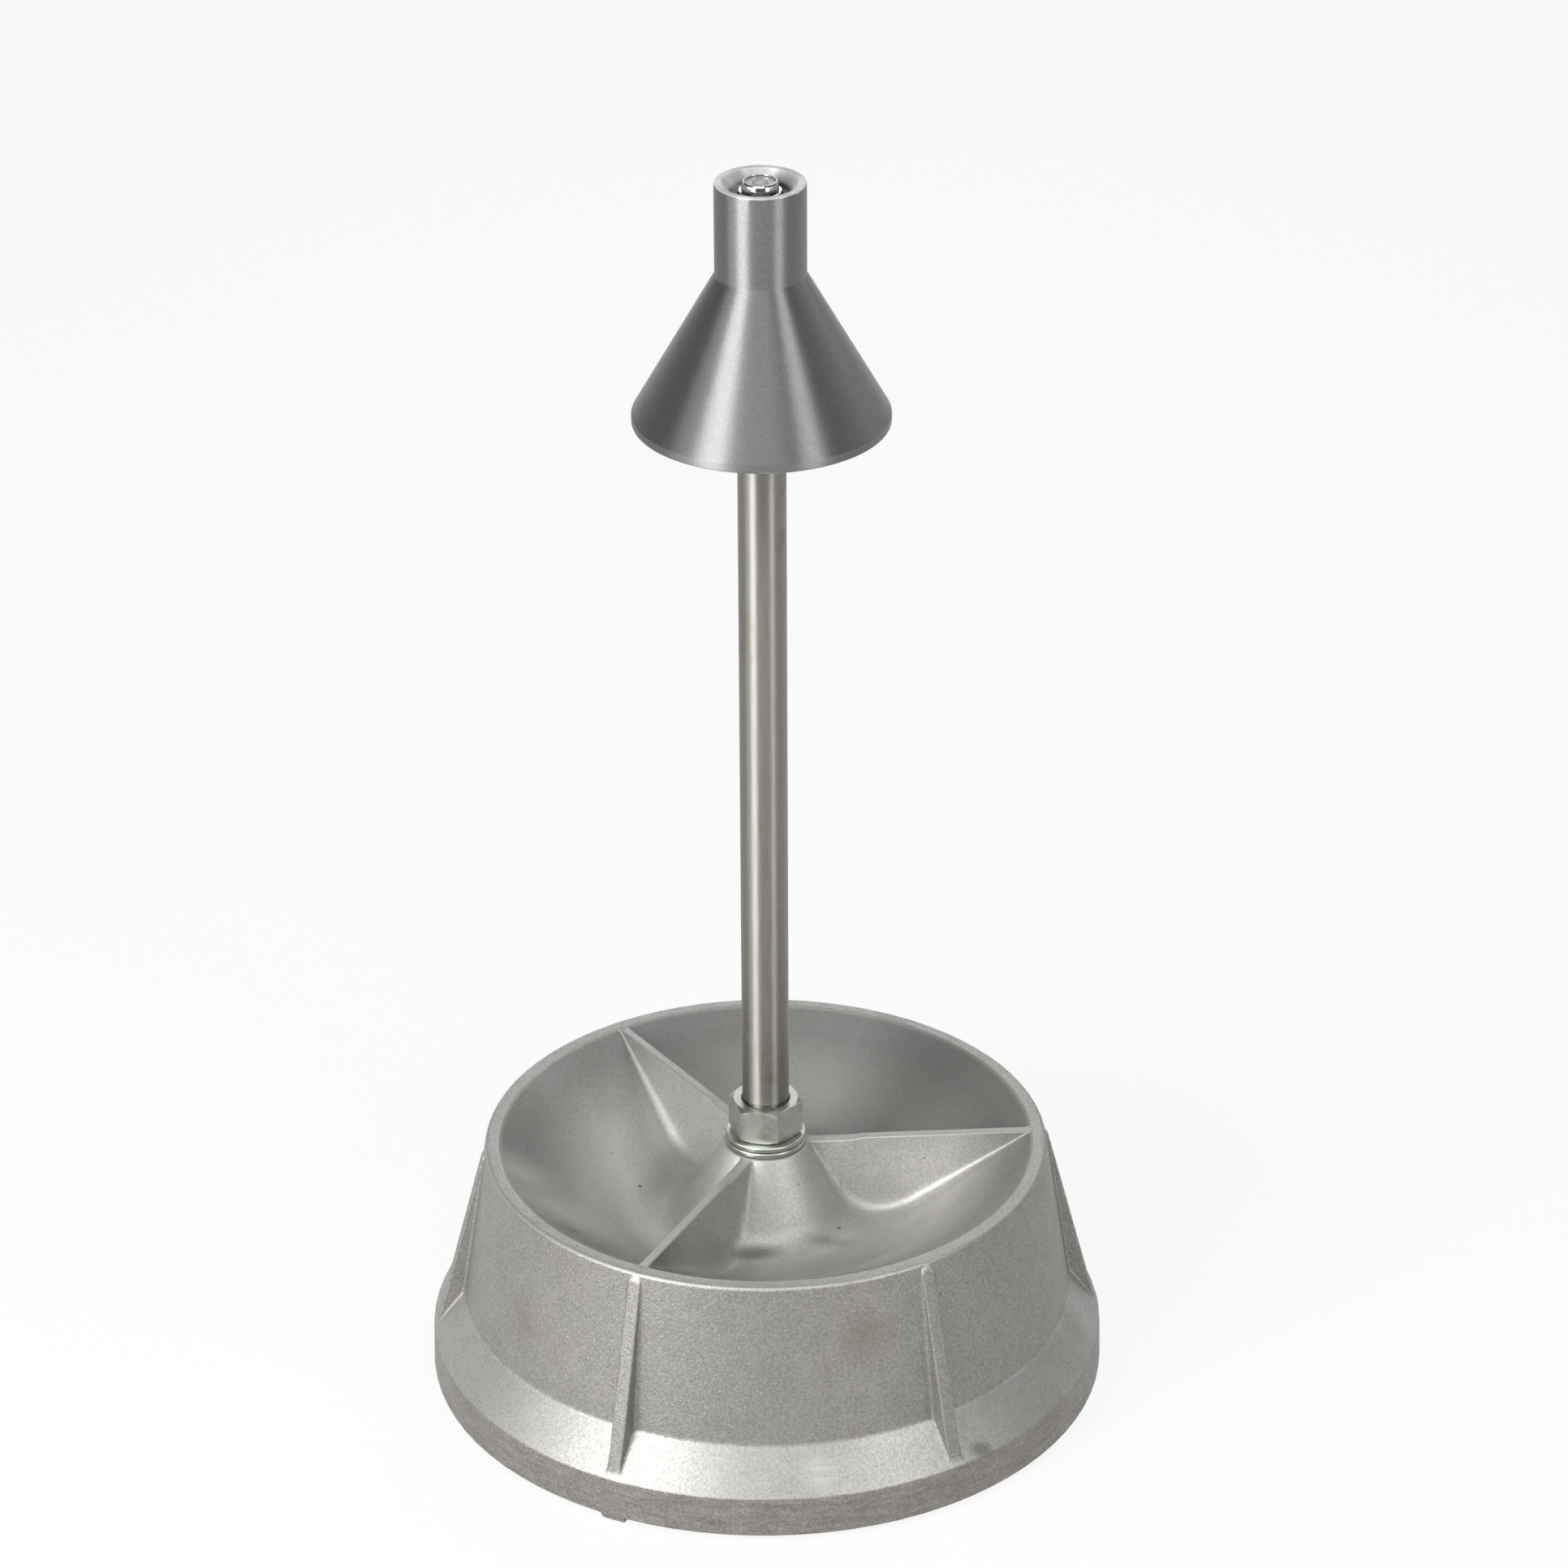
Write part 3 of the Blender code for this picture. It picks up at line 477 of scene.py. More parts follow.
class NodeSheet:
    """Short ways to add and join the nodes of one tree."""

    def __init__(self, tree):
        self.tree = tree

    def feed(self, node, inputs):
        """Joins or sets named or numbered inputs of a node, and gives its outputs."""
        for socket, value in dict(inputs).items():
            if isinstance(value, bpy.types.NodeSocket):
                self.tree.links.new(value, node.inputs[socket])
            else:
                node.inputs[socket].default_value = value
        return node.outputs

    def add(self, kind, inputs=(), **values):
        """Adds a node with its values, feeds its inputs, and gives its outputs."""
        node = self.tree.nodes.new(kind)
        for name, value in values.items():
            setattr(node, name, value)
        return self.feed(node, inputs)

    def math(self, operation, *values):
        return self.add("ShaderNodeMath", enumerate(values), operation=operation)[0]

    def one_over(self, value):
        return self.math("DIVIDE", 1.0, value)

    def times(self, first, second):
        return self.math("MULTIPLY", first, second)

    def times_plus(self, first, second, third):
        return self.math("MULTIPLY_ADD", first, second, third)

    def mix(self, factor, first, second, blend="MIX"):
        """Mixes two colours, each a socket or three numbers."""
        inputs = {0: factor}
        for socket, colour in ((6, first), (7, second)):
            inputs[socket] = colour if isinstance(colour, bpy.types.NodeSocket) else (*colour, 1.0)
        return self.add("ShaderNodeMix", inputs, data_type="RGBA", blend_type=blend)[2]

    def layers(self, base, *layers):
        """Mixes each (mask, colour) over the base."""
        for mask, colour in layers:
            base = self.mix(mask, base, colour)
        return base

    def tones(self, factor, colour, low, high):
        """One colour, scaled from low to high."""
        return self.mix(factor, shade(colour, low), shade(colour, high))

    def range(self, value, *limits):
        """Maps a value from the first two limits to the last two."""
        return self.add("ShaderNodeMapRange", enumerate((value, *limits)), clamp=True)[0]

    def mask(self, value, start, end):
        """0 at the start, 1 at the end."""
        return self.range(value, start, end, 0.0, 1.0)

    def noise(self, vector, scale, detail, roughness=0.6):
        inputs = {"Vector": vector, "Scale": scale, "Detail": detail, "Roughness": roughness}
        return self.add("ShaderNodeTexNoise", inputs)["Fac"]

    def grain(self, *values):
        """Noise fixed to the piece, from its scale, detail and roughness."""
        return self.noise(self.place(), *values)

    def cells(self, scale):
        return self.add("ShaderNodeTexVoronoi", {"Vector": self.place(), "Scale": scale})["Distance"]

    def place(self, kind="Object"):
        return self.add("ShaderNodeTexCoord")[kind]

    def stretched(self, *scale):
        """The place, scaled along X, Y and Z."""
        return self.add("ShaderNodeMapping", {"Vector": self.place(), "Scale": scale})[0]

    def parts(self, kind="Object"):
        """X, Y and Z of the place, or of the normal."""
        return self.add("ShaderNodeSeparateXYZ", {0: self.place(kind)})

    def across(self, parts):
        """Distance from the Z axis."""
        squares = [self.math("POWER", parts[axis], 2.0) for axis in (0, 1)]
        return self.math("SQRT", self.math("ADD", *squares))

    def vector(self, *parts):
        return self.add("ShaderNodeCombineXYZ", enumerate(parts))[0]

    def bump(self, height, strength, distance):
        return self.add("ShaderNodeBump", {"Height": height, "Strength": strength, "Distance": distance})[0]

    def group(self, tree, **values):
        return self.add("ShaderNodeGroup", titled(values), node_tree=tree)

    def socket(self, name, side):
        return self.tree.interface.new_socket(name=name, in_out=side, socket_type="NodeSocketFloat")

    def takes(self, **defaults):
        """Number inputs of a group, with their defaults."""
        for name, value in titled(defaults).items():
            self.socket(name, "INPUT").default_value = value
        return self.add("NodeGroupInput")

    def gives(self, **results):
        """Number outputs of a group, each with its result."""
        for name in titled(results):
            self.socket(name, "OUTPUT")
        self.add("NodeGroupOutput", titled(results))


def group_maker(maker):
    """Makes the maker's node group on the first call and gives the same one again later."""
    def made_once():
        name = maker.__name__.replace("_", " ")
        tree = bpy.data.node_groups.get(name)
        if not tree:
            tree = bpy.data.node_groups.new(name, "ShaderNodeTree")
            maker(NodeSheet(tree))
        return tree
    return made_once


def new_material(name):
    made = bpy.data.materials.new(name)
    made.use_nodes = True
    return made, NodeSheet(made.node_tree)


def finish_maker(maker):
    """Makes a material with the inputs that the maker gives; a later call gives the same one."""
    def made_once():
        name = f"{maker.__name__}_finish"
        made = bpy.data.materials.get(name)
        if not made:
            made, sheet = new_material(name)
            sheet.feed(made.node_tree.nodes["Principled BSDF"], maker(sheet))
        return made
    return made_once


@group_maker
def cast_grain(sheet):
    """Sand grain, sunk pits and proud flecks of a cast surface."""
    given = sheet.takes(grain_size=0.0006, fleck_spacing=0.0026, pit_spacing=0.016, pit_share=0.05)
    fine_scale = sheet.one_over(given["Grain size"])
    fine = sheet.grain(fine_scale, 2.0)
    soft = sheet.grain(sheet.times(fine_scale, 0.10), 3.0)
    flecks = sheet.mask(sheet.cells(sheet.one_over(given["Fleck spacing"])), 0.26, 0.10)
    pits = sheet.mask(sheet.cells(sheet.one_over(given["Pit spacing"])), given["Pit share"], 0.0)
    height = sheet.times_plus(flecks, 0.4, sheet.times(fine, 0.7))
    tone = sheet.times_plus(soft, 0.20, sheet.times(fine, 0.80))
    sheet.gives(height=sheet.math("SUBTRACT", height, pits), tone=tone, flecks=flecks, pits=pits)


@group_maker
def edge_wear(sheet):
    """How far an outer edge is rubbed bright, broken up by noise, and how hollow a place is."""
    given = sheet.takes(start=0.52, end=0.62, patch_size=0.004)
    curve = sheet.add("ShaderNodeNewGeometry")["Pointiness"]
    patch = sheet.grain(sheet.one_over(given["Patch size"]), 3.0)
    edge = sheet.mask(curve, given["Start"], given["End"])
    broken = sheet.range(patch, 0.35, 0.60, 0.25, 1.0)
    sheet.gives(wear=sheet.times(edge, broken), hollow=sheet.mask(curve, 0.495, 0.44))


@group_maker
def old_stains(sheet):
    """Soft patches of old oil and dust."""
    given = sheet.takes(patch_size=0.05, amount=0.5)
    scale = sheet.one_over(given["Patch size"])
    broad = sheet.grain(scale, 3.0)
    small = sheet.grain(sheet.times(scale, 5.0), 4.0, 0.65)
    both = sheet.times_plus(small, 0.35, sheet.times(broad, 0.65))
    sheet.gives(stain=sheet.times(sheet.mask(both, 0.56, 0.72), given["Amount"]), drift=broad)


@group_maker
def tool_lines(sheet):
    """Fine lines that a tool leaves round a turned piece."""
    given = sheet.takes(spacing=0.0004, uneven=0.5)
    parts = sheet.parts()
    across = sheet.math("DIVIDE", sheet.across(parts), given["Spacing"])
    along = sheet.vector(across, 0.0, sheet.math("DIVIDE", parts[2], given["Spacing"]))
    lines = sheet.noise(along, 0.8, 2.0, 0.7)
    slow = sheet.noise(along, 0.05, 2.0)
    sheet.gives(height=sheet.times_plus(slow, given["Uneven"], lines), tone=lines)


def casting_zones(sheet, tone):
    """Masks of the casting: up-facing places, smoother and painted lighter as light from above, tray, the
    tray's worn middle, boss, lip, and the top of the rim, bare and painted lighter too.
    """
    parts = sheet.parts()
    across = sheet.across(parts)
    height = parts[2]
    facing = sheet.parts("Normal")[2]
    # Up-facing places above the lip, with a ragged border: smoother, and painted lighter as light from
    # above.
    ragged = sheet.times_plus(sheet.math("SUBTRACT", tone, 0.5), 0.25, facing)
    above_lip = sheet.mask(height, LIP_TOP - 0.0024, LIP_TOP + 0.0004)
    upward_lit_and_smooth = sheet.times(sheet.mask(ragged, 0.28, 0.52), above_lip)
    within = sheet.mask(across, RIM_INNER_RADIUS + 0.0008, RIM_INNER_RADIUS)
    inside = sheet.times(within, sheet.mask(height, TRAY_FLOOR - 0.0030, TRAY_FLOOR - 0.0015))
    worn = sheet.times(inside, sheet.mask(across, 0.106, 0.080))
    boss = sheet.times(inside, sheet.mask(across, 0.052, 0.040))
    outer = sheet.mask(across, LIP_RADIUS - CASTING_WALL, LIP_RADIUS - CASTING_WALL / 2)
    lip = sheet.times(sheet.mask(height, LIP_TOP + 0.0006, LIP_TOP - 0.0020), outer)
    # The rim's up-facing top: bare metal, and also painted lighter as light from above.
    near_top = sheet.mask(height, RIM_TOP - 0.0012, RIM_TOP - 0.0006)
    bare_and_lit_rim_top = sheet.times(near_top, sheet.mask(facing, 0.60, 0.90))
    return upward_lit_and_smooth, inside, worn, boss, lip, bare_and_lit_rim_top


def placed_spots(sheet, spots, sharpness, narrow=1.0):
    """Mask of ragged spots, each (x, y, z, size); narrow below 1 draws them out along X."""
    place = sheet.stretched(narrow, 1.0, 1.0)
    ragged = sheet.times_plus(sheet.noise(place, 160.0, 3.0), 0.9, 0.55)
    mask = None
    for x, y, z, size in spots:
        gap = sheet.add("ShaderNodeVectorMath", {0: place, 1: (x * narrow, y, z)}, operation="DISTANCE")
        spot = sheet.mask(sheet.times(gap["Value"], ragged), size, size * sharpness)
        mask = sheet.math("MAXIMUM", mask, spot) if mask else spot
    return mask


def lip_streaks(sheet):
    """Streaks that run round the lip."""
    x, y, z = sheet.parts()
    along = sheet.vector(sheet.times(x, 0.14), sheet.times(y, 0.14), z)
    return sheet.mask(sheet.noise(along, 520.0, 4.0, 0.65), 0.35, 0.65)


@finish_maker
def cast_aluminium(sheet):
    settings = bpy.context.scene.balancer_casting
    grain = sheet.group(cast_grain(), grain_size=0.00115, fleck_spacing=0.0021, pit_share=0.045)
    wear = sheet.group(edge_wear(), start=0.515, end=0.60, patch_size=0.005)
    stains = sheet.group(old_stains(), patch_size=0.085, amount=0.26)
    upward_lit_and_smooth, tray, worn, boss, lip, bare_and_lit_rim_top = casting_zones(sheet, grain["Tone"])
    smooth_share = sheet.times_plus(upward_lit_and_smooth, 0.25, sheet.times(tray, 0.25))
    rough_skin = sheet.math("SUBTRACT", 1.0, smooth_share)
    streaks = lip_streaks(sheet)
    # Painted light: lighter patches in the tray, drawn out along X.
    light_pool = sheet.times(sheet.times(placed_spots(sheet, LIGHT_POOL_PATCHES, 0.1, 0.6), 0.55), tray)
    # Painted shade at the foot of the boss, and one dark spot low on the outer side.
    shade_and_dark_spot_mask = sheet.times(placed_spots(sheet, SHADE_AND_DARK_SPOTS, 0.35, 0.35), 0.68)
    faint_shade_mask = sheet.times(placed_spots(sheet, FAINT_SHADE_SPOTS, 0.20, 0.28), 0.45)
    streak_wear = sheet.range(streaks, 0.2, 0.8, 0.15, 0.70)
    pits = sheet.math("MAXIMUM", grain["Pits"], placed_spots(sheet, PITS, 0.4))
    shades = sheet.mix(sheet.mask(grain["Tone"], 0.38, 0.62), [0.83] * 3, [1.17] * 3)
    drift = sheet.mix(sheet.mask(stains["Drift"], 0.35, 0.65), (0.96, 0.96, 0.95), (1.03, 1.03, 1.04))
    base = sheet.layers(
        settings.colour,
        # Painted light: up-facing places get a lighter colour, as if lit from above.
        (upward_lit_and_smooth, settings.flange_painted_light_colour),
        (tray, shade(settings.tray_colour, 0.78)),
        (worn, shade(settings.tray_colour, 1.24)),
        (lip, sheet.tones(streaks, settings.lip_colour, 1.00, 1.40)),
        # The rim's top: bare metal, and painted light from above.
        (bare_and_lit_rim_top, settings.bare_and_lit_rim_colour),
    )
    base = sheet.mix(rough_skin, base, shades, "MULTIPLY")
    base = sheet.mix(1.0, base, drift, "MULTIPLY")
    base = sheet.layers(
        base,
        (stains["Stain"], settings.stain_colour),
        # Painted light on the tray's left side.
        (light_pool, shade(settings.tray_colour, 1.75)),
        (sheet.times(placed_spots(sheet, BROWN_STAINS, 0.2), 0.50), settings.stain_colour),
        # Painted shade: dark grey spots at the foot of the boss, and one dark spot low on the outer side.
        (sheet.math("MAXIMUM", shade_and_dark_spot_mask, faint_shade_mask), (0.125, 0.123, 0.118)),
        (sheet.times(placed_spots(sheet, RUBBED_SPOTS, 0.1), streak_wear), (0.58, 0.57, 0.555)),
        (sheet.times(sheet.times(grain["Flecks"], rough_skin), 0.26), (0.54, 0.53, 0.51)),
        (sheet.times(wear["Wear"], 0.55), (0.60, 0.59, 0.57)),
        (sheet.times(wear["Hollow"], 0.15), settings.stain_colour),
        (sheet.times(pits, 0.80), (0.08, 0.075, 0.07)),
    )
    rough = sheet.range(grain["Tone"], 0.3, 0.7, 0.42, 0.34)
    for mask, share in ((rough_skin, 0.14), (stains["Stain"], 0.18), (boss, 0.10)):
        rough = sheet.times_plus(mask, share, rough)
    skin_depth = sheet.times_plus(upward_lit_and_smooth, -0.42, rough_skin)
    height = sheet.times(sheet.math("SUBTRACT", grain["Height"], pits), skin_depth)
    return {
        "Base Color": base,
        "Roughness": rough,
        "Metallic": 0.65,
        "Normal": sheet.bump(height, 0.7, 0.00042),
    }


def turned_sheen(sheet):
    """Highlights drawn out along the axis, as fine lines round a piece make them."""
    tangent = sheet.add("ShaderNodeTangent", direction_type="RADIAL", axis="Z")[0]
    return {"Tangent": tangent, "Anisotropic": 0.93, "Anisotropic Rotation": 0.25}


@finish_maker
def ground_steel(sheet):
    colour = bpy.context.scene.balancer_rod.colour
    stains = sheet.group(old_stains(), patch_size=0.045, amount=0.55)
    streaks = sheet.noise(sheet.stretched(1.0, 1.0, 0.04), 1400.0, 3.0)
    base = sheet.tones(sheet.mask(streaks, 0.35, 0.65), colour, 0.90, 1.08)
    brown = sheet.times(placed_spots(sheet, ROD_STAINS, 0.1), 0.5)
    brown = sheet.math("MAXIMUM", stains["Stain"], brown)
    rough = sheet.range(streaks, 0.3, 0.7, 0.42, 0.50)
    return {
        "Base Color": sheet.mix(brown, base, (0.20, 0.155, 0.105)),
        "Roughness": sheet.times_plus(stains["Stain"], 0.15, rough),
        "Metallic": 1.0,
        "Normal": sheet.bump(streaks, 0.10, 0.00005),
        **turned_sheen(sheet),
    }


@finish_maker
def zinc_plate(sheet):
    colour = bpy.context.scene.balancer_rod.zinc_colour
    wear = sheet.group(edge_wear(), start=0.52, end=0.66, patch_size=0.003)
    stains = sheet.group(old_stains(), patch_size=0.016, amount=0.40)
    spangle = sheet.grain(260.0, 3.0)
    base = sheet.tones(sheet.mask(spangle, 0.35, 0.65), colour, 0.90, 1.10)
    base = sheet.mix(stains["Stain"], base, (0.30, 0.33, 0.24))
    return {
        "Base Color": sheet.mix(sheet.times(wear["Wear"], 0.7), base, (0.80, 0.82, 0.76)),
        "Roughness": sheet.range(spangle, 0.3, 0.7, 0.30, 0.42),
        "Metallic": 0.95,
        "Normal": sheet.bump(spangle, 0.15, 0.00008),
    }


def lit_head_top_mask(sheet):
    """Mask of the head's up-facing top, painted lighter and less metallic as light from above."""
    high = sheet.mask(sheet.parts()[2], HEAD_TOP - RECESS_DEPTH, HEAD_TOP - RECESS_DEPTH * 0.7)
    return sheet.times(high, sheet.mask(sheet.parts("Normal")[2], 0.35, 0.65))


@finish_maker
def turned_aluminium(sheet):
    settings = bpy.context.scene.balancer_head
    lines = sheet.group(tool_lines(), spacing=settings.line_spacing, uneven=0.5)
    wear = sheet.group(edge_wear(), start=0.52, end=0.64, patch_size=0.004)
    stains = sheet.group(old_stains(), patch_size=0.022, amount=0.30)
    tone = sheet.times_plus(lines["Tone"], 0.35, sheet.times(sheet.grain(1300.0, 2.0), 0.65))
    base = sheet.tones(sheet.mask(tone, 0.38, 0.62), settings.colour, 0.86, 1.12)
    # Painted light: the up-facing top gets a lighter colour and less metal, as if lit from above.
    top = lit_head_top_mask(sheet)
    base = sheet.layers(
        base,
        (stains["Stain"], shade(settings.colour, 0.85)),
        (top, settings.lit_top_colour),
        (sheet.times(wear["Wear"], 0.7), (0.80, 0.80, 0.79)),
        # Painted shade: dark grey in the hollows of the head.
        (sheet.times(wear["Hollow"], 0.4), (0.16, 0.16, 0.16)),
    )
    return {
        "Base Color": base,
        "Roughness": sheet.range(lines["Tone"], 0.3, 0.7, 0.44, 0.52),
        "Metallic": sheet.range(top, 0.0, 1.0, 1.0, 0.40),
        "Normal": sheet.bump(lines["Height"], 0.14, 0.00006),
        **turned_sheen(sheet),
    }


@finish_maker
def hard_steel(sheet):
    colour = bpy.context.scene.balancer_head.steel_colour
    lines = sheet.group(tool_lines(), spacing=0.00015, uneven=0.3)
    return {
        "Base Color": sheet.tones(sheet.mask(lines["Tone"], 0.3, 0.7), colour, 0.8, 1.2),
        "Roughness": sheet.range(lines["Tone"], 0.3, 0.7, 0.18, 0.30),
        "Metallic": 1.0,
        "Normal": sheet.bump(lines["Height"], 0.15, 0.00003),
    }


@finish_maker
def bright_plate(sheet):
    colour = bpy.context.scene.balancer_level.plate_colour
    wear = sheet.group(edge_wear(), start=0.50, end=0.62, patch_size=0.002)
    haze = sheet.grain(700.0, 3.0)
    base = sheet.tones(sheet.mask(haze, 0.35, 0.65), colour, 0.88, 1.08)
    return {
        # Painted shade: dark grey in the hollows of the plating.
        "Base Color": sheet.mix(sheet.times(wear["Hollow"], 0.6), base, (0.12, 0.12, 0.12)),
        "Roughness": sheet.range(haze, 0.3, 0.7, 0.07, 0.15),
        "Metallic": 1.0,
        "Normal": sheet.bump(haze, 0.06, 0.00004),
    }


@finish_maker
def level_glass(sheet):
    smears = sheet.grain(420.0, 4.0)
    return {
        "Base Color": sheet.mix(sheet.mask(smears, 0.4, 0.7), (0.97, 0.98, 0.97), (0.90, 0.92, 0.90)),
        "Roughness": sheet.range(smears, 0.4, 0.75, 0.16, 0.30),
        "Transmission Weight": 0.72,
        "IOR": 1.49,
    }


@finish_maker
def level_liquid(sheet):
    cloud = sheet.grain(300.0, 2.0, 0.5)
    return {
        "Base Color": sheet.tones(cloud, bpy.context.scene.balancer_level.liquid_colour, 0.97, 1.02),
        "Roughness": sheet.range(cloud, 0.3, 0.7, 0.0, 0.03),
        "Transmission Weight": 1.0,
        "IOR": 1.33,
    }


@finish_maker
def bubble_air(sheet):
    film = sheet.grain(500.0, 2.0, 0.5)
    return {
        "Base Color": sheet.mix(film, (0.95, 0.97, 0.95), (1.0, 1.0, 1.0)),
        "Roughness": sheet.range(film, 0.3, 0.7, 0.0, 0.03),
        "Transmission Weight": 1.0,
        "IOR": 1.22,
    }


@finish_maker
def pale_disc(sheet):
    colour = bpy.context.scene.balancer_level.backing_colour
    stains = sheet.group(old_stains(), patch_size=0.004, amount=0.3)
    base = sheet.tones(stains["Drift"], colour, 0.92, 1.06)
    return {
        "Base Color": sheet.mix(stains["Stain"], base, (0.45, 0.44, 0.38)),
        "Roughness": sheet.range(stains["Drift"], 0.3, 0.7, 0.38, 0.52),
    }


@finish_maker
def black_rubber(sheet):
    bloom = sheet.grain(900.0, 3.0)
    return {
        "Base Color": sheet.mix(bloom, (0.018, 0.018, 0.018), (0.055, 0.053, 0.050)),
        "Roughness": sheet.range(bloom, 0.3, 0.7, 0.55, 0.78),
        "Normal": sheet.bump(bloom, 0.2, 0.00005),
    }


@finish_maker
def ring_ink(sheet):
    worn = sheet.grain(1600.0, 3.0)
    return {
        "Base Color": sheet.mix(sheet.mask(worn, 0.45, 0.70), (0.22, 0.22, 0.21), (0.40, 0.40, 0.38)),
        "Roughness": sheet.range(worn, 0.3, 0.7, 0.35, 0.60),
    }


def floor_finish():
    """Matt floor that is nearly plain white where the camera sees it, straight or in a mirror."""
    settings = bpy.context.scene.balancer_stage
    made, sheet = new_material("floor_finish")
    nodes = made.node_tree.nodes
    nodes.remove(nodes["Principled BSDF"])
    tone = sheet.tones(sheet.grain(3.0, 2.0, 0.5), settings.floor_colour, 0.985, 1.015)
    matt = sheet.add("ShaderNodeBsdfDiffuse", {"Color": tone})[0]
    glow = sheet.add("ShaderNodeEmission", {"Strength": 1.0})[0]
    rays = sheet.add("ShaderNodeLightPath")
    seen = sheet.math("MAXIMUM", rays["Is Camera Ray"], rays["Is Glossy Ray"])
    seen = sheet.math("MAXIMUM", seen, rays["Is Transmission Ray"])
    inputs = (sheet.times(seen, settings.floor_white), matt, glow)
    blend = sheet.add("ShaderNodeMixShader", enumerate(inputs))[0]
    sheet.feed(nodes["Material Output"], {"Surface": blend})
    return made


# Cast base

TRAY, WALL, LIP, FOOT, PLAIN = range(5)
CASTING_SUPPORT = 0.0004
RIB_ROUND_STEPS = 4
RIB_FILLET_STEPS = 6
RIB_SIDE_SHARES = (0.08, 0.5, 0.92)
RIB_ROOM_SHARE = 0.84
RIB_ROUND_SHARE = 0.45
RIB_FILLET_SHARE = 0.5
RIB_CREST_SHARE = 0.8
RIB_FOOT_REACH = 1.25
PLAIN_COLUMNS = 13
FLAT_COLUMN_GAP = 0.00015
FLAT_RISE = 0.0010
NO_RISE = 1e-5
TRAY_FILLET_SHARE = 0.20
LOW_RIB_SWELL = 0.6
WALL_ROUND_SHARE = 0.6
WALL_END_WIDTH = 0.3
WALL_END_FILLET = 0.4
FOOT_EDGE_RISE = 0.25
FOOT_EDGE_SLOPE = 8
LEAST_FACING = 0.3
RIB_DRAFTS = {TRAY: math.radians(3.0), WALL: math.radians(5.0)}
BROAD_WAVES = 28.0
BROAD_SHARE = 0.35
SMALL_WAVES = 130.0
SMALL_SHARE = 0.15
MEAN_DEPTH = 0.5
STILL_HEIGHT = 0.0005
WAVING_HEIGHT = 0.004
CAST_SHARP_ANGLE = math.radians(50)


# One ring of the casting: a point of its outline, the way the outline runs there, and its zone
Row = namedtuple("Row", ("radius", "height", "along", "zone"))


def casting_corners():
    """Outline of the casting: (radius, height, round, zone of the side that follows, row spacing)."""
    lip = Vector((LIP_RADIUS, FOOT_HEIGHT))
    shoulder = Vector((LIP_TOP_RADIUS, LIP_TOP))
    junction = Vector((FLANGE_RADIUS, FLANGE_TOP))
    rim_outer = Vector((RIM_RADIUS, RIM_TOP))
    rib_end = junction.lerp(rim_outer, (WALL_RIB_END_ROWS - FLANGE_TOP) / (RIM_TOP - FLANGE_TOP))
    rim_inner = Vector((RIM_INNER_RADIUS, RIM_TOP))
    floor_outer = Vector((TRAY_FLOOR_RADIUS, TRAY_FLOOR))
    floor_inner = Vector((BOSS_FOOT_RADIUS, TRAY_FLOOR))
    inside_lip = inset(shoulder, lip)
    inside_flange = inset(junction, shoulder)
    inside_wall = inset(rim_outer, junction)
    under_tray = inset(floor_outer, rim_inner)
    under_floor = inset(floor_inner, floor_outer)
    hub_side = (Vector((HUB_RADIUS, HUB_BOTTOM)), Vector((0, 1)))
    ground = (Vector((0, FOOT_HEIGHT)), Vector((1, 0)))
    return [
        (*lip, 0.0010, LIP, 0.0030),
        (*shoulder, 0.0018, WALL, 0.0022),
        (*junction, 0.0050, WALL, 0.0024),
        (*rib_end, 0, WALL, 0.0006),
        (*rim_outer, 0.0020, PLAIN, 0.0020),
        (*rim_inner, 0.0012, TRAY, 0.0036),
        (*floor_outer, TRAY_CURVE, TRAY, 0.0012),
        (*floor_inner, BOSS_FOOT_CURVE, TRAY, 0.0024),
        (BOSS_TOP_RADIUS, BOSS_TOP, 0.0010, PLAIN, 0.0030),
        (THREAD_HOLE_RADIUS, BOSS_TOP, 0.0005, PLAIN, 0.0200),
        (THREAD_HOLE_RADIUS, HUB_BOTTOM, 0.0005, PLAIN, 0.0060),
        (HUB_RADIUS, HUB_BOTTOM, 0.0015, PLAIN, 0.0060),
        (*crossing(hub_side, under_floor), 0.0030, PLAIN, 0.0100),
        (*crossing(under_floor, under_tray), 0.0080, PLAIN, 0.0120),
        (*crossing(under_tray, inside_wall), 0.0030, PLAIN, 0.0120),
        (*crossing(inside_wall, inside_flange), 0.0030, PLAIN, 0.0080),
        (*crossing(inside_flange, inside_lip), 0.0030, PLAIN, 0.0040),
        (*crossing(inside_lip, ground), 0.0008, FOOT, 0.0010),
    ]


def inset(start, end):
    """The line from start to end, moved to its right by the thickness of the casting."""
    along = (end - start).normalized()
    return start + Vector((along.y, -along.x)) * CASTING_WALL, along


def crossing(line_a, line_b):
    point_a, along_a = line_a
    point_b, along_b = line_b
    return point_a + along_a * ((point_b - point_a).cross(along_b) / along_a.cross(along_b))


def casting_rows():
    corners = casting_corners()
    arcs = corner_arcs(corners, True, 5)
    points = []
    for index, (arc, corner) in enumerate(zip(arcs, corners)):
        zone = corner[3]
        arc_zone = corners[index - 1][3] if zone in (PLAIN, LIP) else zone
        points += [(point, arc_zone) for point in arc]
        side = side_points(arc[-1], arcs[(index + 1) % len(arcs)][0], corner[4], CASTING_SUPPORT)
        points += [(point, zone) for point in side]
    rows = []
    for index, (point, zone) in enumerate(points):
        along = points[(index + 1) % len(points)][0] - points[index - 1][0]
        rows.append(Row(*point, along.normalized(), zone))
    return rows


def between(value, low, high):
    return min(max(value, low), high)


def above_zero(value, soft):
    return (value + math.sqrt(value * value + soft * soft)) / 2


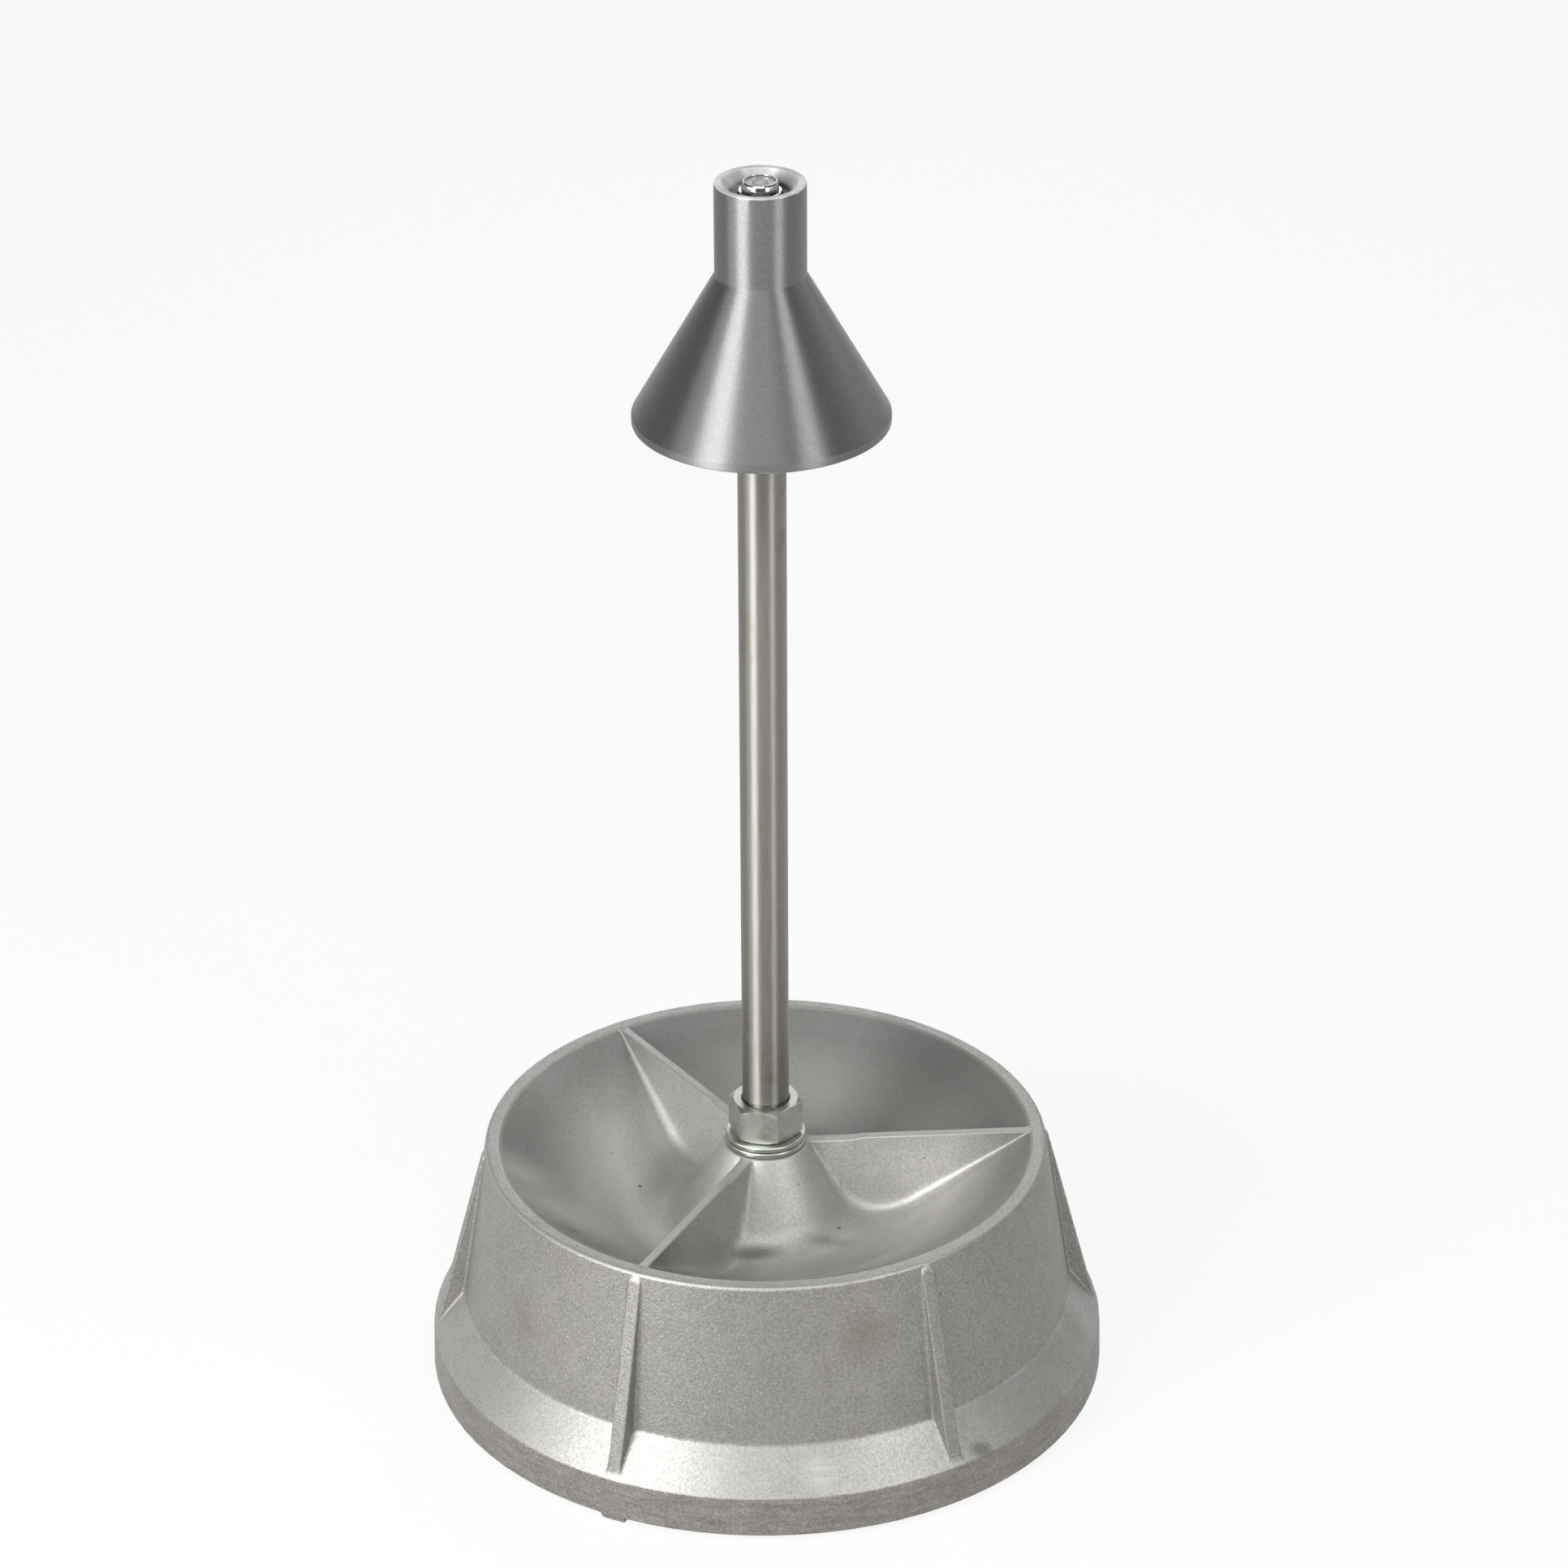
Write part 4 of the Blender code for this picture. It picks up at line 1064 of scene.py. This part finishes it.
def rib_at(row, index, settings):
    """Rise, its direction, half width, round, fillet and slant of one rib where it crosses a row."""
    tray_half = settings.tray_rib_width / 2
    wall_half = settings.wall_rib_width / 2
    foot_half = FOOT_WIDTH / 2
    edge_round = settings.rib_round
    if row.zone == TRAY:
        share = (row.radius - TRAY_RIB_STEP_START) / (TRAY_RIB_STEP_END - TRAY_RIB_STEP_START)
        share = between(share, 0.0, 1.0)
        crest = TRAY_RIB_LOW_CREST + (TRAY_RIB_CREST - TRAY_RIB_LOW_CREST) * share
        rise = above_zero(crest - row.height, BLEND_LENGTH) if index % 2 == 0 else 0.0
        half = tray_half + (1 - share) * edge_round * LOW_RIB_SWELL
        fillet = min(settings.tray_fillet, edge_round + rise * TRAY_FILLET_SHARE)
        return rise, Vector((0, 1)), half, edge_round, fillet, max(abs(row.along.x), LEAST_FACING)
    if row.zone == WALL:
        line = WALL_RIB_FOOT - WALL_RIB_TOP
        edge = WALL_RIB_TOP.x + line.x * ((row.height - WALL_RIB_TOP.y) / line.y)
        below_end = between((WALL_RIB_TOP.y - row.height) / wall_half, 0.0, 1.0)
        arch = math.sqrt(1 - (1 - below_end) ** 2)
        rise = above_zero(edge - row.radius, BLEND_LENGTH / 2) * arch
        half = wall_half * max(arch, WALL_END_WIDTH)
        fillet = settings.wall_fillet * max(arch, WALL_END_FILLET)
        facing = max(abs(row.along.y), LEAST_FACING)
        top_round = min(edge_round, half * WALL_ROUND_SHARE)
        return rise, Vector((1, 0)), half, top_round, fillet, facing
    if row.zone == LIP:
        share = 1 - (row.height - FOOT_HEIGHT) / (LIP_TOP - FOOT_HEIGHT)
        half = wall_half + (foot_half - wall_half) * share
        return 0.0, Vector((1, 0)), half, edge_round, settings.wall_fillet, 1.0
    if row.zone == FOOT:
        share = between((row.radius - (LIP_RADIUS - CASTING_WALL)) / CASTING_WALL, 0.0, 1.0)
        target = Vector((FOOT_INNER_RADIUS + (FOOT_OUTER_RADIUS - FOOT_INNER_RADIUS) * share, 0.0))
        reach = target - Vector((row.radius, row.height))
        rise = reach.length if index % 2 == 0 else 0.0
        rise *= min(1.0, FOOT_EDGE_RISE + min(share, 1 - share) * FOOT_EDGE_SLOPE)
        return rise, reach.normalized(), foot_half, edge_round, edge_round, 1.0
    return 0.0, Vector((0, 1)), tray_half, edge_round, settings.tray_fillet, 1.0


def rib_section(rise, half, top_round, fillet, facing, draft):
    """Half cross-section of a rib from its crest to its foot, as (across, rise) points."""
    round_fall = min(top_round, rise * RIB_ROUND_SHARE)
    fillet_rise = min(fillet / facing, rise * RIB_FILLET_SHARE)
    side = max(rise - round_fall - fillet_rise, 0.0)
    low_half = half + side * math.tan(draft)
    points = [(0.0, rise), ((half - top_round) * RIB_CREST_SHARE, rise)]
    for sine, cosine in quarter_turn(RIB_ROUND_STEPS):
        points.append((half - top_round + top_round * sine, rise - round_fall * (1 - cosine)))
    for share in RIB_SIDE_SHARES:
        points.append((half + (low_half - half) * share, rise - round_fall - side * share))
    for sine, cosine in quarter_turn(RIB_FILLET_STEPS):
        points.append((low_half + fillet * (1 - cosine), fillet_rise * (1 - sine)))
    points.append((low_half + fillet * RIB_FOOT_REACH, 0.0))
    apart = FLAT_COLUMN_GAP * max(0.0, 1.0 - rise / FLAT_RISE)
    spread = [points[0]]
    for across, height in points[1:]:
        spread.append((max(across, spread[-1][0] + apart), height))
    return spread


def row_columns(row, settings):
    """Every (angle, rise) round one row, and the way the rise points."""
    room = row.radius * math.sin(math.pi / RIB_PLACES) * RIB_ROOM_SHARE
    sections = []
    for index in range(RIB_PLACES):
        rise, direction, *shape = rib_at(row, index, settings)
        rise = 0.0 if rise < NO_RISE else rise
        section = rib_section(rise, *shape, RIB_DRAFTS.get(row.zone, 0.0))
        squeeze = min(1.0, room / section[-1][0])
        turns = [math.asin(across * squeeze / row.radius) for across, _ in section]
        sections.append([(turn, height) for turn, (_, height) in zip(turns, section)])
    columns = []
    for index, section in enumerate(sections):
        middle = 2 * math.pi * index / RIB_PLACES
        columns += [(middle - turn, height) for turn, height in reversed(section[1:])]
        columns += [(middle + turn, height) for turn, height in section]
        end = columns[-1][0]
        following = sections[(index + 1) % RIB_PLACES]
        start = middle + 2 * math.pi / RIB_PLACES - following[-1][0]
        for step in range(1, PLAIN_COLUMNS):
            columns.append((end + (start - end) * step / PLAIN_COLUMNS, 0.0))
    return columns, direction


def sink_surface(data, waviness):
    """Lets the surface sink a little in places, but not at the feet."""
    bmesh.ops.recalc_face_normals(data, faces=data.faces)
    data.normal_update()
    sunk = []
    for vertex in data.verts:
        broad = noise.noise(vertex.co * BROAD_WAVES)
        small = noise.noise(vertex.co * SMALL_WAVES)
        depth = waviness * (MEAN_DEPTH + BROAD_SHARE * broad + SMALL_SHARE * small)
        keep = between((vertex.co.z - STILL_HEIGHT) / WAVING_HEIGHT, 0.0, 1.0)
        sunk.append((vertex, vertex.co - vertex.normal * depth * keep))
    for vertex, place in sunk:
        vertex.co = place


def build_casting(settings, metal):
    data = bmesh.new()
    rings = []
    for row in casting_rows():
        columns, direction = row_columns(row, settings)
        ring = []
        for angle, rise in columns:
            place = around(row.radius + direction.x * rise, angle, row.height + direction.y * rise)
            ring.append(data.verts.new(place))
        rings.append(ring)
    for index, ring in enumerate(rings):
        bridge(data, ring, rings[(index + 1) % len(rings)])
    sink_surface(data, settings.waviness)
    return finish_mesh("cast_base", data, metal, CAST_SHARP_ANGLE)


# Operators

def ring_corners(node, inner, edge, outer=None):
    """Corners of a flat ring or disc with a node's height, and its radius if none is given."""
    low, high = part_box(node)
    radius = outer or high.x
    sides = ((inner, low.z), (radius, low.z), (radius, high.z), (inner, high.z))
    return [(*side, edge) for side in sides]


class BALANCER_OT_cast_base(bpy.types.Operator):
    """Add the cast base with its tray, ribs and feet"""
    bl_idname = "balancer.cast_base"
    bl_label = "Cast Base"

    def execute(self, context):
        base = build_casting(context.scene.balancer_casting, cast_aluminium())
        stand_for(base, "stand", "cast_aluminium", "base_casting")
        return {"FINISHED"}


class BALANCER_OT_rod(bpy.types.Operator):
    """Add the upright rod and finish the needle in its top"""
    bl_idname = "balancer.rod"
    bl_label = "Rod"

    def execute(self, context):
        outline = fine_outline([
            (0, ROD_BOTTOM, 0),
            (THREAD_RADIUS - ROD_FOOT_CHAMFER, ROD_BOTTOM, 0.0002),
            (THREAD_RADIUS, ROD_BOTTOM + ROD_FOOT_CHAMFER, 0.0002),
            (THREAD_RADIUS, ROD_SHOULDER, 0),
            (ROD_RADIUS - ROD_STEP_CHAMFER, ROD_SHOULDER, 0.0001),
            (ROD_RADIUS, ROD_SHOULDER + ROD_STEP_CHAMFER, 0.0003),
            (ROD_RADIUS, ROD_TOP - ROD_TOP_CHAMFER, 0.0003),
            (ROD_RADIUS - ROD_TOP_CHAMFER, ROD_TOP, 0.0002),
            (NEEDLE_HOLE_RADIUS, ROD_TOP, 0),
            (NEEDLE_HOLE_RADIUS, NEEDLE_HOLE_BOTTOM, 0),
            (0, NEEDLE_HOLE_BOTTOM, 0),
        ], closed=False, spacing=0.02)
        rod = turned_piece("ground_rod", outline, context.scene.balancer_rod.steps, ground_steel(), False)
        stand_for(rod, "stand", "ground_steel", "support_rod")
        paint("pivot_needle", hard_steel())
        return {"FINISHED"}


class BALANCER_OT_fasteners(bpy.types.Operator):
    """Add the nut and the two washers that lock the rod"""
    bl_idname = "balancer.fasteners"
    bl_label = "Nut and Washers"

    def execute(self, context):
        settings = context.scene.balancer_rod
        stand_for(self.nut(settings), "stand", "zinc_plate", "lock_nut")
        stand_for(self.spring_washer(settings), "stand", "zinc_plate", "spring_washer")
        corners = ring_corners("flat_washer", WASHER_HOLE_RADIUS, WASHER_ROUND, FLAT_WASHER_RADIUS)
        washer = turned_piece("zinc_flat_washer", fine_outline(corners), settings.steps, zinc_plate())
        stand_for(washer, "stand", "zinc_plate", "flat_washer")
        return {"FINISHED"}

    def nut(self, settings):
        corner = NUT_ACROSS_FLATS / math.sqrt(3)
        flat = NUT_ACROSS_FLATS / 2 - NUT_CROWN_INSET
        reach = corner + NUT_CROWN_INSET
        drop = (reach - flat) * math.tan(NUT_CROWN_ANGLE)
        hole = THREAD_HOLE_RADIUS
        blank = [
            (hole + NUT_HOLE_CHAMFER, NUT_BOTTOM), (flat, NUT_BOTTOM), (reach, NUT_BOTTOM + drop),
            (reach, NUT_TOP - drop), (flat, NUT_TOP), (hole + NUT_HOLE_CHAMFER, NUT_TOP),
            (hole, NUT_TOP - NUT_HOLE_CHAMFER), (hole, NUT_BOTTOM + NUT_HOLE_CHAMFER),
        ]
        nut = turned_piece("zinc_nut", blank, settings.steps, zinc_plate())
        turn = NUT_TURN + math.pi / HEX_SIDES
        flats = prism("nut_flats", corner, HEX_SIDES, NUT_BOTTOM - CUT_MARGIN, NUT_TOP + CUT_MARGIN, turn)
        cut(nut, [flats], "INTERSECT")
        soft_edges(nut, settings.edge_round)
        return nut

    def spring_washer(self, settings):
        corners = ring_corners("spring_washer", WASHER_HOLE_RADIUS, WASHER_ROUND, SPRING_WASHER_RADIUS)
        section = fine_outline(corners, steps=4)
        data = bmesh.new()
        rings = []
        sweep = 2 * math.pi - SPRING_WASHER_SPLIT
        for step in range(settings.steps + 1):
            angle = SPRING_WASHER_SPLIT_AT + SPRING_WASHER_SPLIT / 2 + sweep * step / settings.steps
            rings.append([data.verts.new(around(across, angle, height)) for across, height in section])
        for before, after in zip(rings, rings[1:]):
            bridge(data, before, after)
        data.faces.new(rings[0])
        data.faces.new(rings[-1])
        return finish_mesh("zinc_spring_washer", data, zinc_plate())


class BALANCER_OT_head(bpy.types.Operator):
    """Add the cone head and finish the pivot and the screws inside it"""
    bl_idname = "balancer.head"
    bl_label = "Balance Head"

    def execute(self, context):
        settings = context.scene.balancer_head
        cone_top = HEAD_TOP - HEAD_CYLINDER
        cone_bottom = cone_top - (CONE_FOOT_RADIUS - HEAD_RADIUS) / CONE_SLOPE
        bottom = cone_bottom - CONE_LIP
        recess_floor = HEAD_TOP - RECESS_DEPTH
        pocket_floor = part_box("level_case")[0].z - POCKET_GAP
        holder_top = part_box("seat_holder")[1].z
        ceiling = holder_top - STEM_HEIGHT + STEM_GAP
        stem_top = holder_top + STEM_GAP
        edge = settings.edge_round
        outline = fine_outline([
            (0, pocket_floor, 0),
            (POCKET_RADIUS, pocket_floor, 0.0002),
            (POCKET_RADIUS, recess_floor, 0.0003),
            (RECESS_FLOOR_RADIUS, recess_floor, 0.0008),
            (HEAD_RADIUS - RECESS_RIM, HEAD_TOP, edge * 1.5),
            (HEAD_RADIUS, HEAD_TOP, edge * 1.3),
            (HEAD_RADIUS, cone_top, 0.0004),
            (CONE_FOOT_RADIUS, cone_bottom, 0.0010),
            (CONE_FOOT_RADIUS, bottom, 0.0010),
            (HEAD_BORE_RADIUS + (cone_top - bottom) * CONE_SLOPE, bottom, 0.0005),
            (HEAD_BORE_RADIUS, cone_top, 0.0010),
            (HEAD_BORE_RADIUS, ceiling, 0.0005),
            (STEM_HOLE_RADIUS, ceiling, 0.0002),
            (STEM_HOLE_RADIUS, stem_top, 0),
            (0, stem_top, 0),
        ], closed=False, spacing=0.008)
        head = turned_piece("turned_head", outline, settings.steps, turned_aluminium(), False)
        self.drill(head, ceiling - CUT_MARGIN, pocket_floor + CUT_MARGIN)
        self.nick(head)
        stand_for(head, "head", "turned_aluminium", "balance_head")
        for node in ("pivot_seat", "seat_holder", *ADJUSTING_SCREWS):
            paint(node, hard_steel())
        return {"FINISHED"}

    def drill(self, head, bottom, top):
        """Holes for the adjusting screws."""
        holes = []
        for index, screw in enumerate(ADJUSTING_SCREWS):
            place = around(SCREW_CIRCLE, 2 * math.pi * index / len(ADJUSTING_SCREWS), 0)
            name = f"{screw}_hole"
            holes.append(prism(name, SCREW_HOLE_RADIUS, SCREW_HOLE_SIDES, bottom, top, 0.0, place))
        cut(head, holes, "DIFFERENCE")

    def nick(self, head):
        """Small dents along the outer edge of the head's top."""
        for turn, depth in NICKS:
            edge = Vector(around(HEAD_RADIUS, math.radians(turn), HEAD_TOP))
            inward = (Vector((0, 0, HEAD_TOP - HEAD_RADIUS)) - edge).normalized()
            for vertex in head.data.vertices:
                gap = (vertex.co - edge).length
                if gap < NICK_REACH:
                    vertex.co += inward * depth * (1 - (gap / NICK_REACH) ** 2)


def level_outline(corners, closed=False, steps=5):
    return fine_outline(corners, closed, steps, support=LEVEL_SUPPORT)


def dome(radius, reach):
    """Points of a dome about the needle's tip, from the axis out."""
    points = []
    for step in range(DOME_STEPS + 1):
        across = reach * step / DOME_STEPS
        points.append(Vector((across, NEEDLE_TIP + math.sqrt(radius ** 2 - across ** 2))))
    return points


class BALANCER_OT_level(bpy.types.Operator):
    """Add the round level with its case, bezel, glass, liquid and bubble"""
    bl_idname = "balancer.level"
    bl_label = "Round Level"

    def execute(self, context):
        plate = bright_plate()
        rubber = black_rubber()
        seal = level_outline(ring_corners("lens_gasket", CHAMBER_RADIUS, 0.00015), True, 3)
        ring = level_outline(ring_corners("target_ring", READING_RING_RADIUS, 0.00004), True, 3)
        disc = level_outline(ring_corners("level_backing", 0, 0.0001))
        self.add("plated_case", "level_case", "bright_plate", plate, self.case())
        self.add("plated_bezel", "level_bezel", "bright_plate", plate, self.bezel(), True)
        self.add("clear_lens", "level_lens", "level_glass", level_glass(), self.lens())
        self.add("seal_ring", "lens_gasket", "black_rubber", rubber, seal, True)
        self.add("reading_ring", "target_ring", "black_ink", ring_ink(), ring, True)
        self.add("pale_backing", "level_backing", "pale_disc", pale_disc(), disc)
        self.add("clear_liquid", "level_fluid", "level_liquid", level_liquid(), self.fluid())
        self.add("level_bubble", "air_bubble", "level_glass", bubble_air(), self.bubble(), body="stand")
        paint("grip_ring", rubber)
        return {"FINISHED"}

    def add(self, name, node, slot, finish, outline, closed=False, body="head"):
        steps = bpy.context.scene.balancer_level.steps
        stand_for(turned_piece(name, outline, steps, finish, closed), body, slot, node)

    def case(self):
        low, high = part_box("level_case")
        flange_bottom = high.z - CASE_FLANGE_THICKNESS
        inside = low.z + CASE_FLOOR
        return level_outline([
            (0, inside, 0), (CHAMBER_RADIUS, inside, 0.0003), (CHAMBER_RADIUS, high.z, 0.0001),
            (CASE_FLANGE_RADIUS, high.z, 0.0004), (CASE_FLANGE_RADIUS, flange_bottom, 0.0004),
            (CASE_BODY_RADIUS, flange_bottom, 0.0001), (CASE_BODY_RADIUS, low.z, 0.0003), (0, low.z, 0),
        ])

    def bezel(self):
        low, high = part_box("level_bezel")
        groove = LENS_RADIUS + LENS_GAP
        shelf = high.z - BEZEL_TOP
        shoulder = high.x - BEZEL_LEAN
        bezel_round = bpy.context.scene.balancer_level.bezel_round
        return level_outline([
            (groove, low.z, 0), (high.x, low.z, 0.0001), (high.x, low.z + BEZEL_STRAIGHT, 0.0006),
            (shoulder, shelf, bezel_round), (shoulder - BEZEL_CHAMFER, high.z, 0.0003),
            (BEZEL_OPENING_RADIUS, high.z, 0.0001), (BEZEL_OPENING_RADIUS, shelf, 0.00005),
            (groove, shelf, 0),
        ], True, 8)

    def lens(self):
        """Flat glass whose underside is a dome that clears the bubble."""
        low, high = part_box("level_lens")
        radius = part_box("air_bubble")[1].z - NEEDLE_TIP + BUBBLE_GAP
        edge = math.sqrt(radius ** 2 - (low.z - NEEDLE_TIP) ** 2)
        return dome(radius, edge) + level_outline([
            (edge + DOME_LAND, low.z, 0), (LENS_RADIUS, low.z, 0.0001), (LENS_RADIUS, high.z, 0.00015),
            (0, high.z, 0),
        ])

    def fluid(self):
        low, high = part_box("level_fluid")
        return dome(high.z - NEEDLE_TIP, high.x) + [Vector((high.x, low.z)), Vector((0, low.z))]

    def bubble(self):
        """Flat bubble with a full round edge, bent to the dome of the lens."""
        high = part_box("air_bubble")[1]
        half = BUBBLE_THICKNESS / 2
        points = []
        for step in range(BUBBLE_STEPS + 1):
            angle = math.pi * step / BUBBLE_STEPS
            swell = math.sin(angle) ** BUBBLE_SWELL
            across = (high.x - half) * min(1.0, swell) + half * swell
            depth = math.cos(angle)
            depth = math.copysign(abs(depth) ** BUBBLE_FLATNESS, depth) * half
            radius = high.z - NEEDLE_TIP - half + depth
            points.append(Vector((across, NEEDLE_TIP + math.sqrt(radius ** 2 - across ** 2))))
        points[0].x = 0
        points[-1].x = 0
        return points


class BALANCER_OT_stage(bpy.types.Operator):
    """Add the floor, the world, the lamps and the camera"""
    bl_idname = "balancer.stage"
    bl_label = "Stage"

    def execute(self, context):
        settings = context.scene.balancer_stage
        self.add_floor(settings)
        self.add_world(settings)
        for values in LAMPS:
            self.add_lamp(*values)
        self.add_camera(settings)
        context.scene.view_settings.view_transform = "Standard"
        return {"FINISHED"}

    def add_floor(self, settings):
        """Round floor whose edge curves up into a wall."""
        edge = settings.floor_radius
        outline = [(0, 0), (edge * BACKDROP_START, 0)]
        for sine, cosine in quarter_turn(BACKDROP_STEPS):
            outline.append((edge - BACKDROP_CURVE * (1 - sine), BACKDROP_CURVE * (1 - cosine)))
        outline.append((edge, edge * BACKDROP_SHARE))
        turned_piece("studio_floor", outline, BACKDROP_SIDES, floor_finish(), False)

    def add_world(self, settings):
        world = bpy.data.worlds.new("studio_room")
        bpy.context.scene.world = world
        world.use_nodes = True
        back = world.node_tree.nodes["Background"]
        back.inputs["Strength"].default_value = settings.world_strength
        back.inputs["Color"].default_value = (1.0, 1.0, 1.0, 1.0)

    def add_lamp(self, name, azimuth, elevation, width, height, radiance):
        """Softbox at an azimuth from the front, in degrees, that faces the middle of the balancer."""
        data = bpy.data.lights.new(name, "AREA")
        data.shape = "RECTANGLE"
        data.size = width
        data.size_y = height
        data.energy = radiance * width * height * math.pi
        turn = math.radians(azimuth)
        rise = math.radians(elevation)
        toward = Vector((math.sin(turn) * math.cos(rise), -math.cos(turn) * math.cos(rise), math.sin(rise)))
        lamp = add_object(name, data)
        lamp.location = Vector((0.0, 0.0, LIGHT_TARGET)) + toward * LAMP_DISTANCE
        lamp.rotation_euler = (-toward).to_track_quat("-Z", "Y").to_euler()

    def add_camera(self, settings):
        data = bpy.data.cameras.new("photo_camera")
        data.lens = settings.lens
        data.sensor_width = SENSOR_WIDTH
        camera = add_object("photo_camera", data)
        camera.location = settings.camera_place
        camera.rotation_euler = settings.camera_turn
        bpy.context.scene.camera = camera


class BALANCER_PT_panel(bpy.types.Panel):
    """Lists the steps that build the balancer and their settings"""
    bl_idname = "BALANCER_PT_panel"
    bl_label = "Bubble Wheel Balancer"
    bl_space_type = "VIEW_3D"
    bl_region_type = "UI"
    bl_category = "Balancer"

    def draw(self, context):
        for step in STEPS:
            self.layout.operator(step.bl_idname)
        for attribute, group in SETTINGS.items():
            box = self.layout.box()
            box.label(text=group.__doc__)
            values = getattr(context.scene, attribute)
            for name in group.__annotations__:
                box.prop(values, name)


SETTINGS = {
    "balancer_casting": CastingSettings,
    "balancer_rod": RodSettings,
    "balancer_head": HeadSettings,
    "balancer_level": LevelSettings,
    "balancer_stage": StageSettings,
}
STEPS = (
    BALANCER_OT_cast_base,
    BALANCER_OT_rod,
    BALANCER_OT_fasteners,
    BALANCER_OT_head,
    BALANCER_OT_level,
    BALANCER_OT_stage,
)


def register():
    for group in SETTINGS.values():
        bpy.utils.register_class(group)
    for attribute, group in SETTINGS.items():
        setattr(bpy.types.Scene, attribute, PointerProperty(type=group))
    for step in STEPS:
        bpy.utils.register_class(step)
    bpy.utils.register_class(BALANCER_PT_panel)


def unregister():
    bpy.utils.unregister_class(BALANCER_PT_panel)
    for step in reversed(STEPS):
        bpy.utils.unregister_class(step)
    for attribute, group in SETTINGS.items():
        delattr(bpy.types.Scene, attribute)
        bpy.utils.unregister_class(group)


def main():
    register()
    bpy.ops.balancer.cast_base()
    bpy.ops.balancer.rod()
    bpy.ops.balancer.fasteners()
    bpy.ops.balancer.head()
    bpy.ops.balancer.level()
    bpy.ops.balancer.stage()


if __name__ == "__main__":
    main()
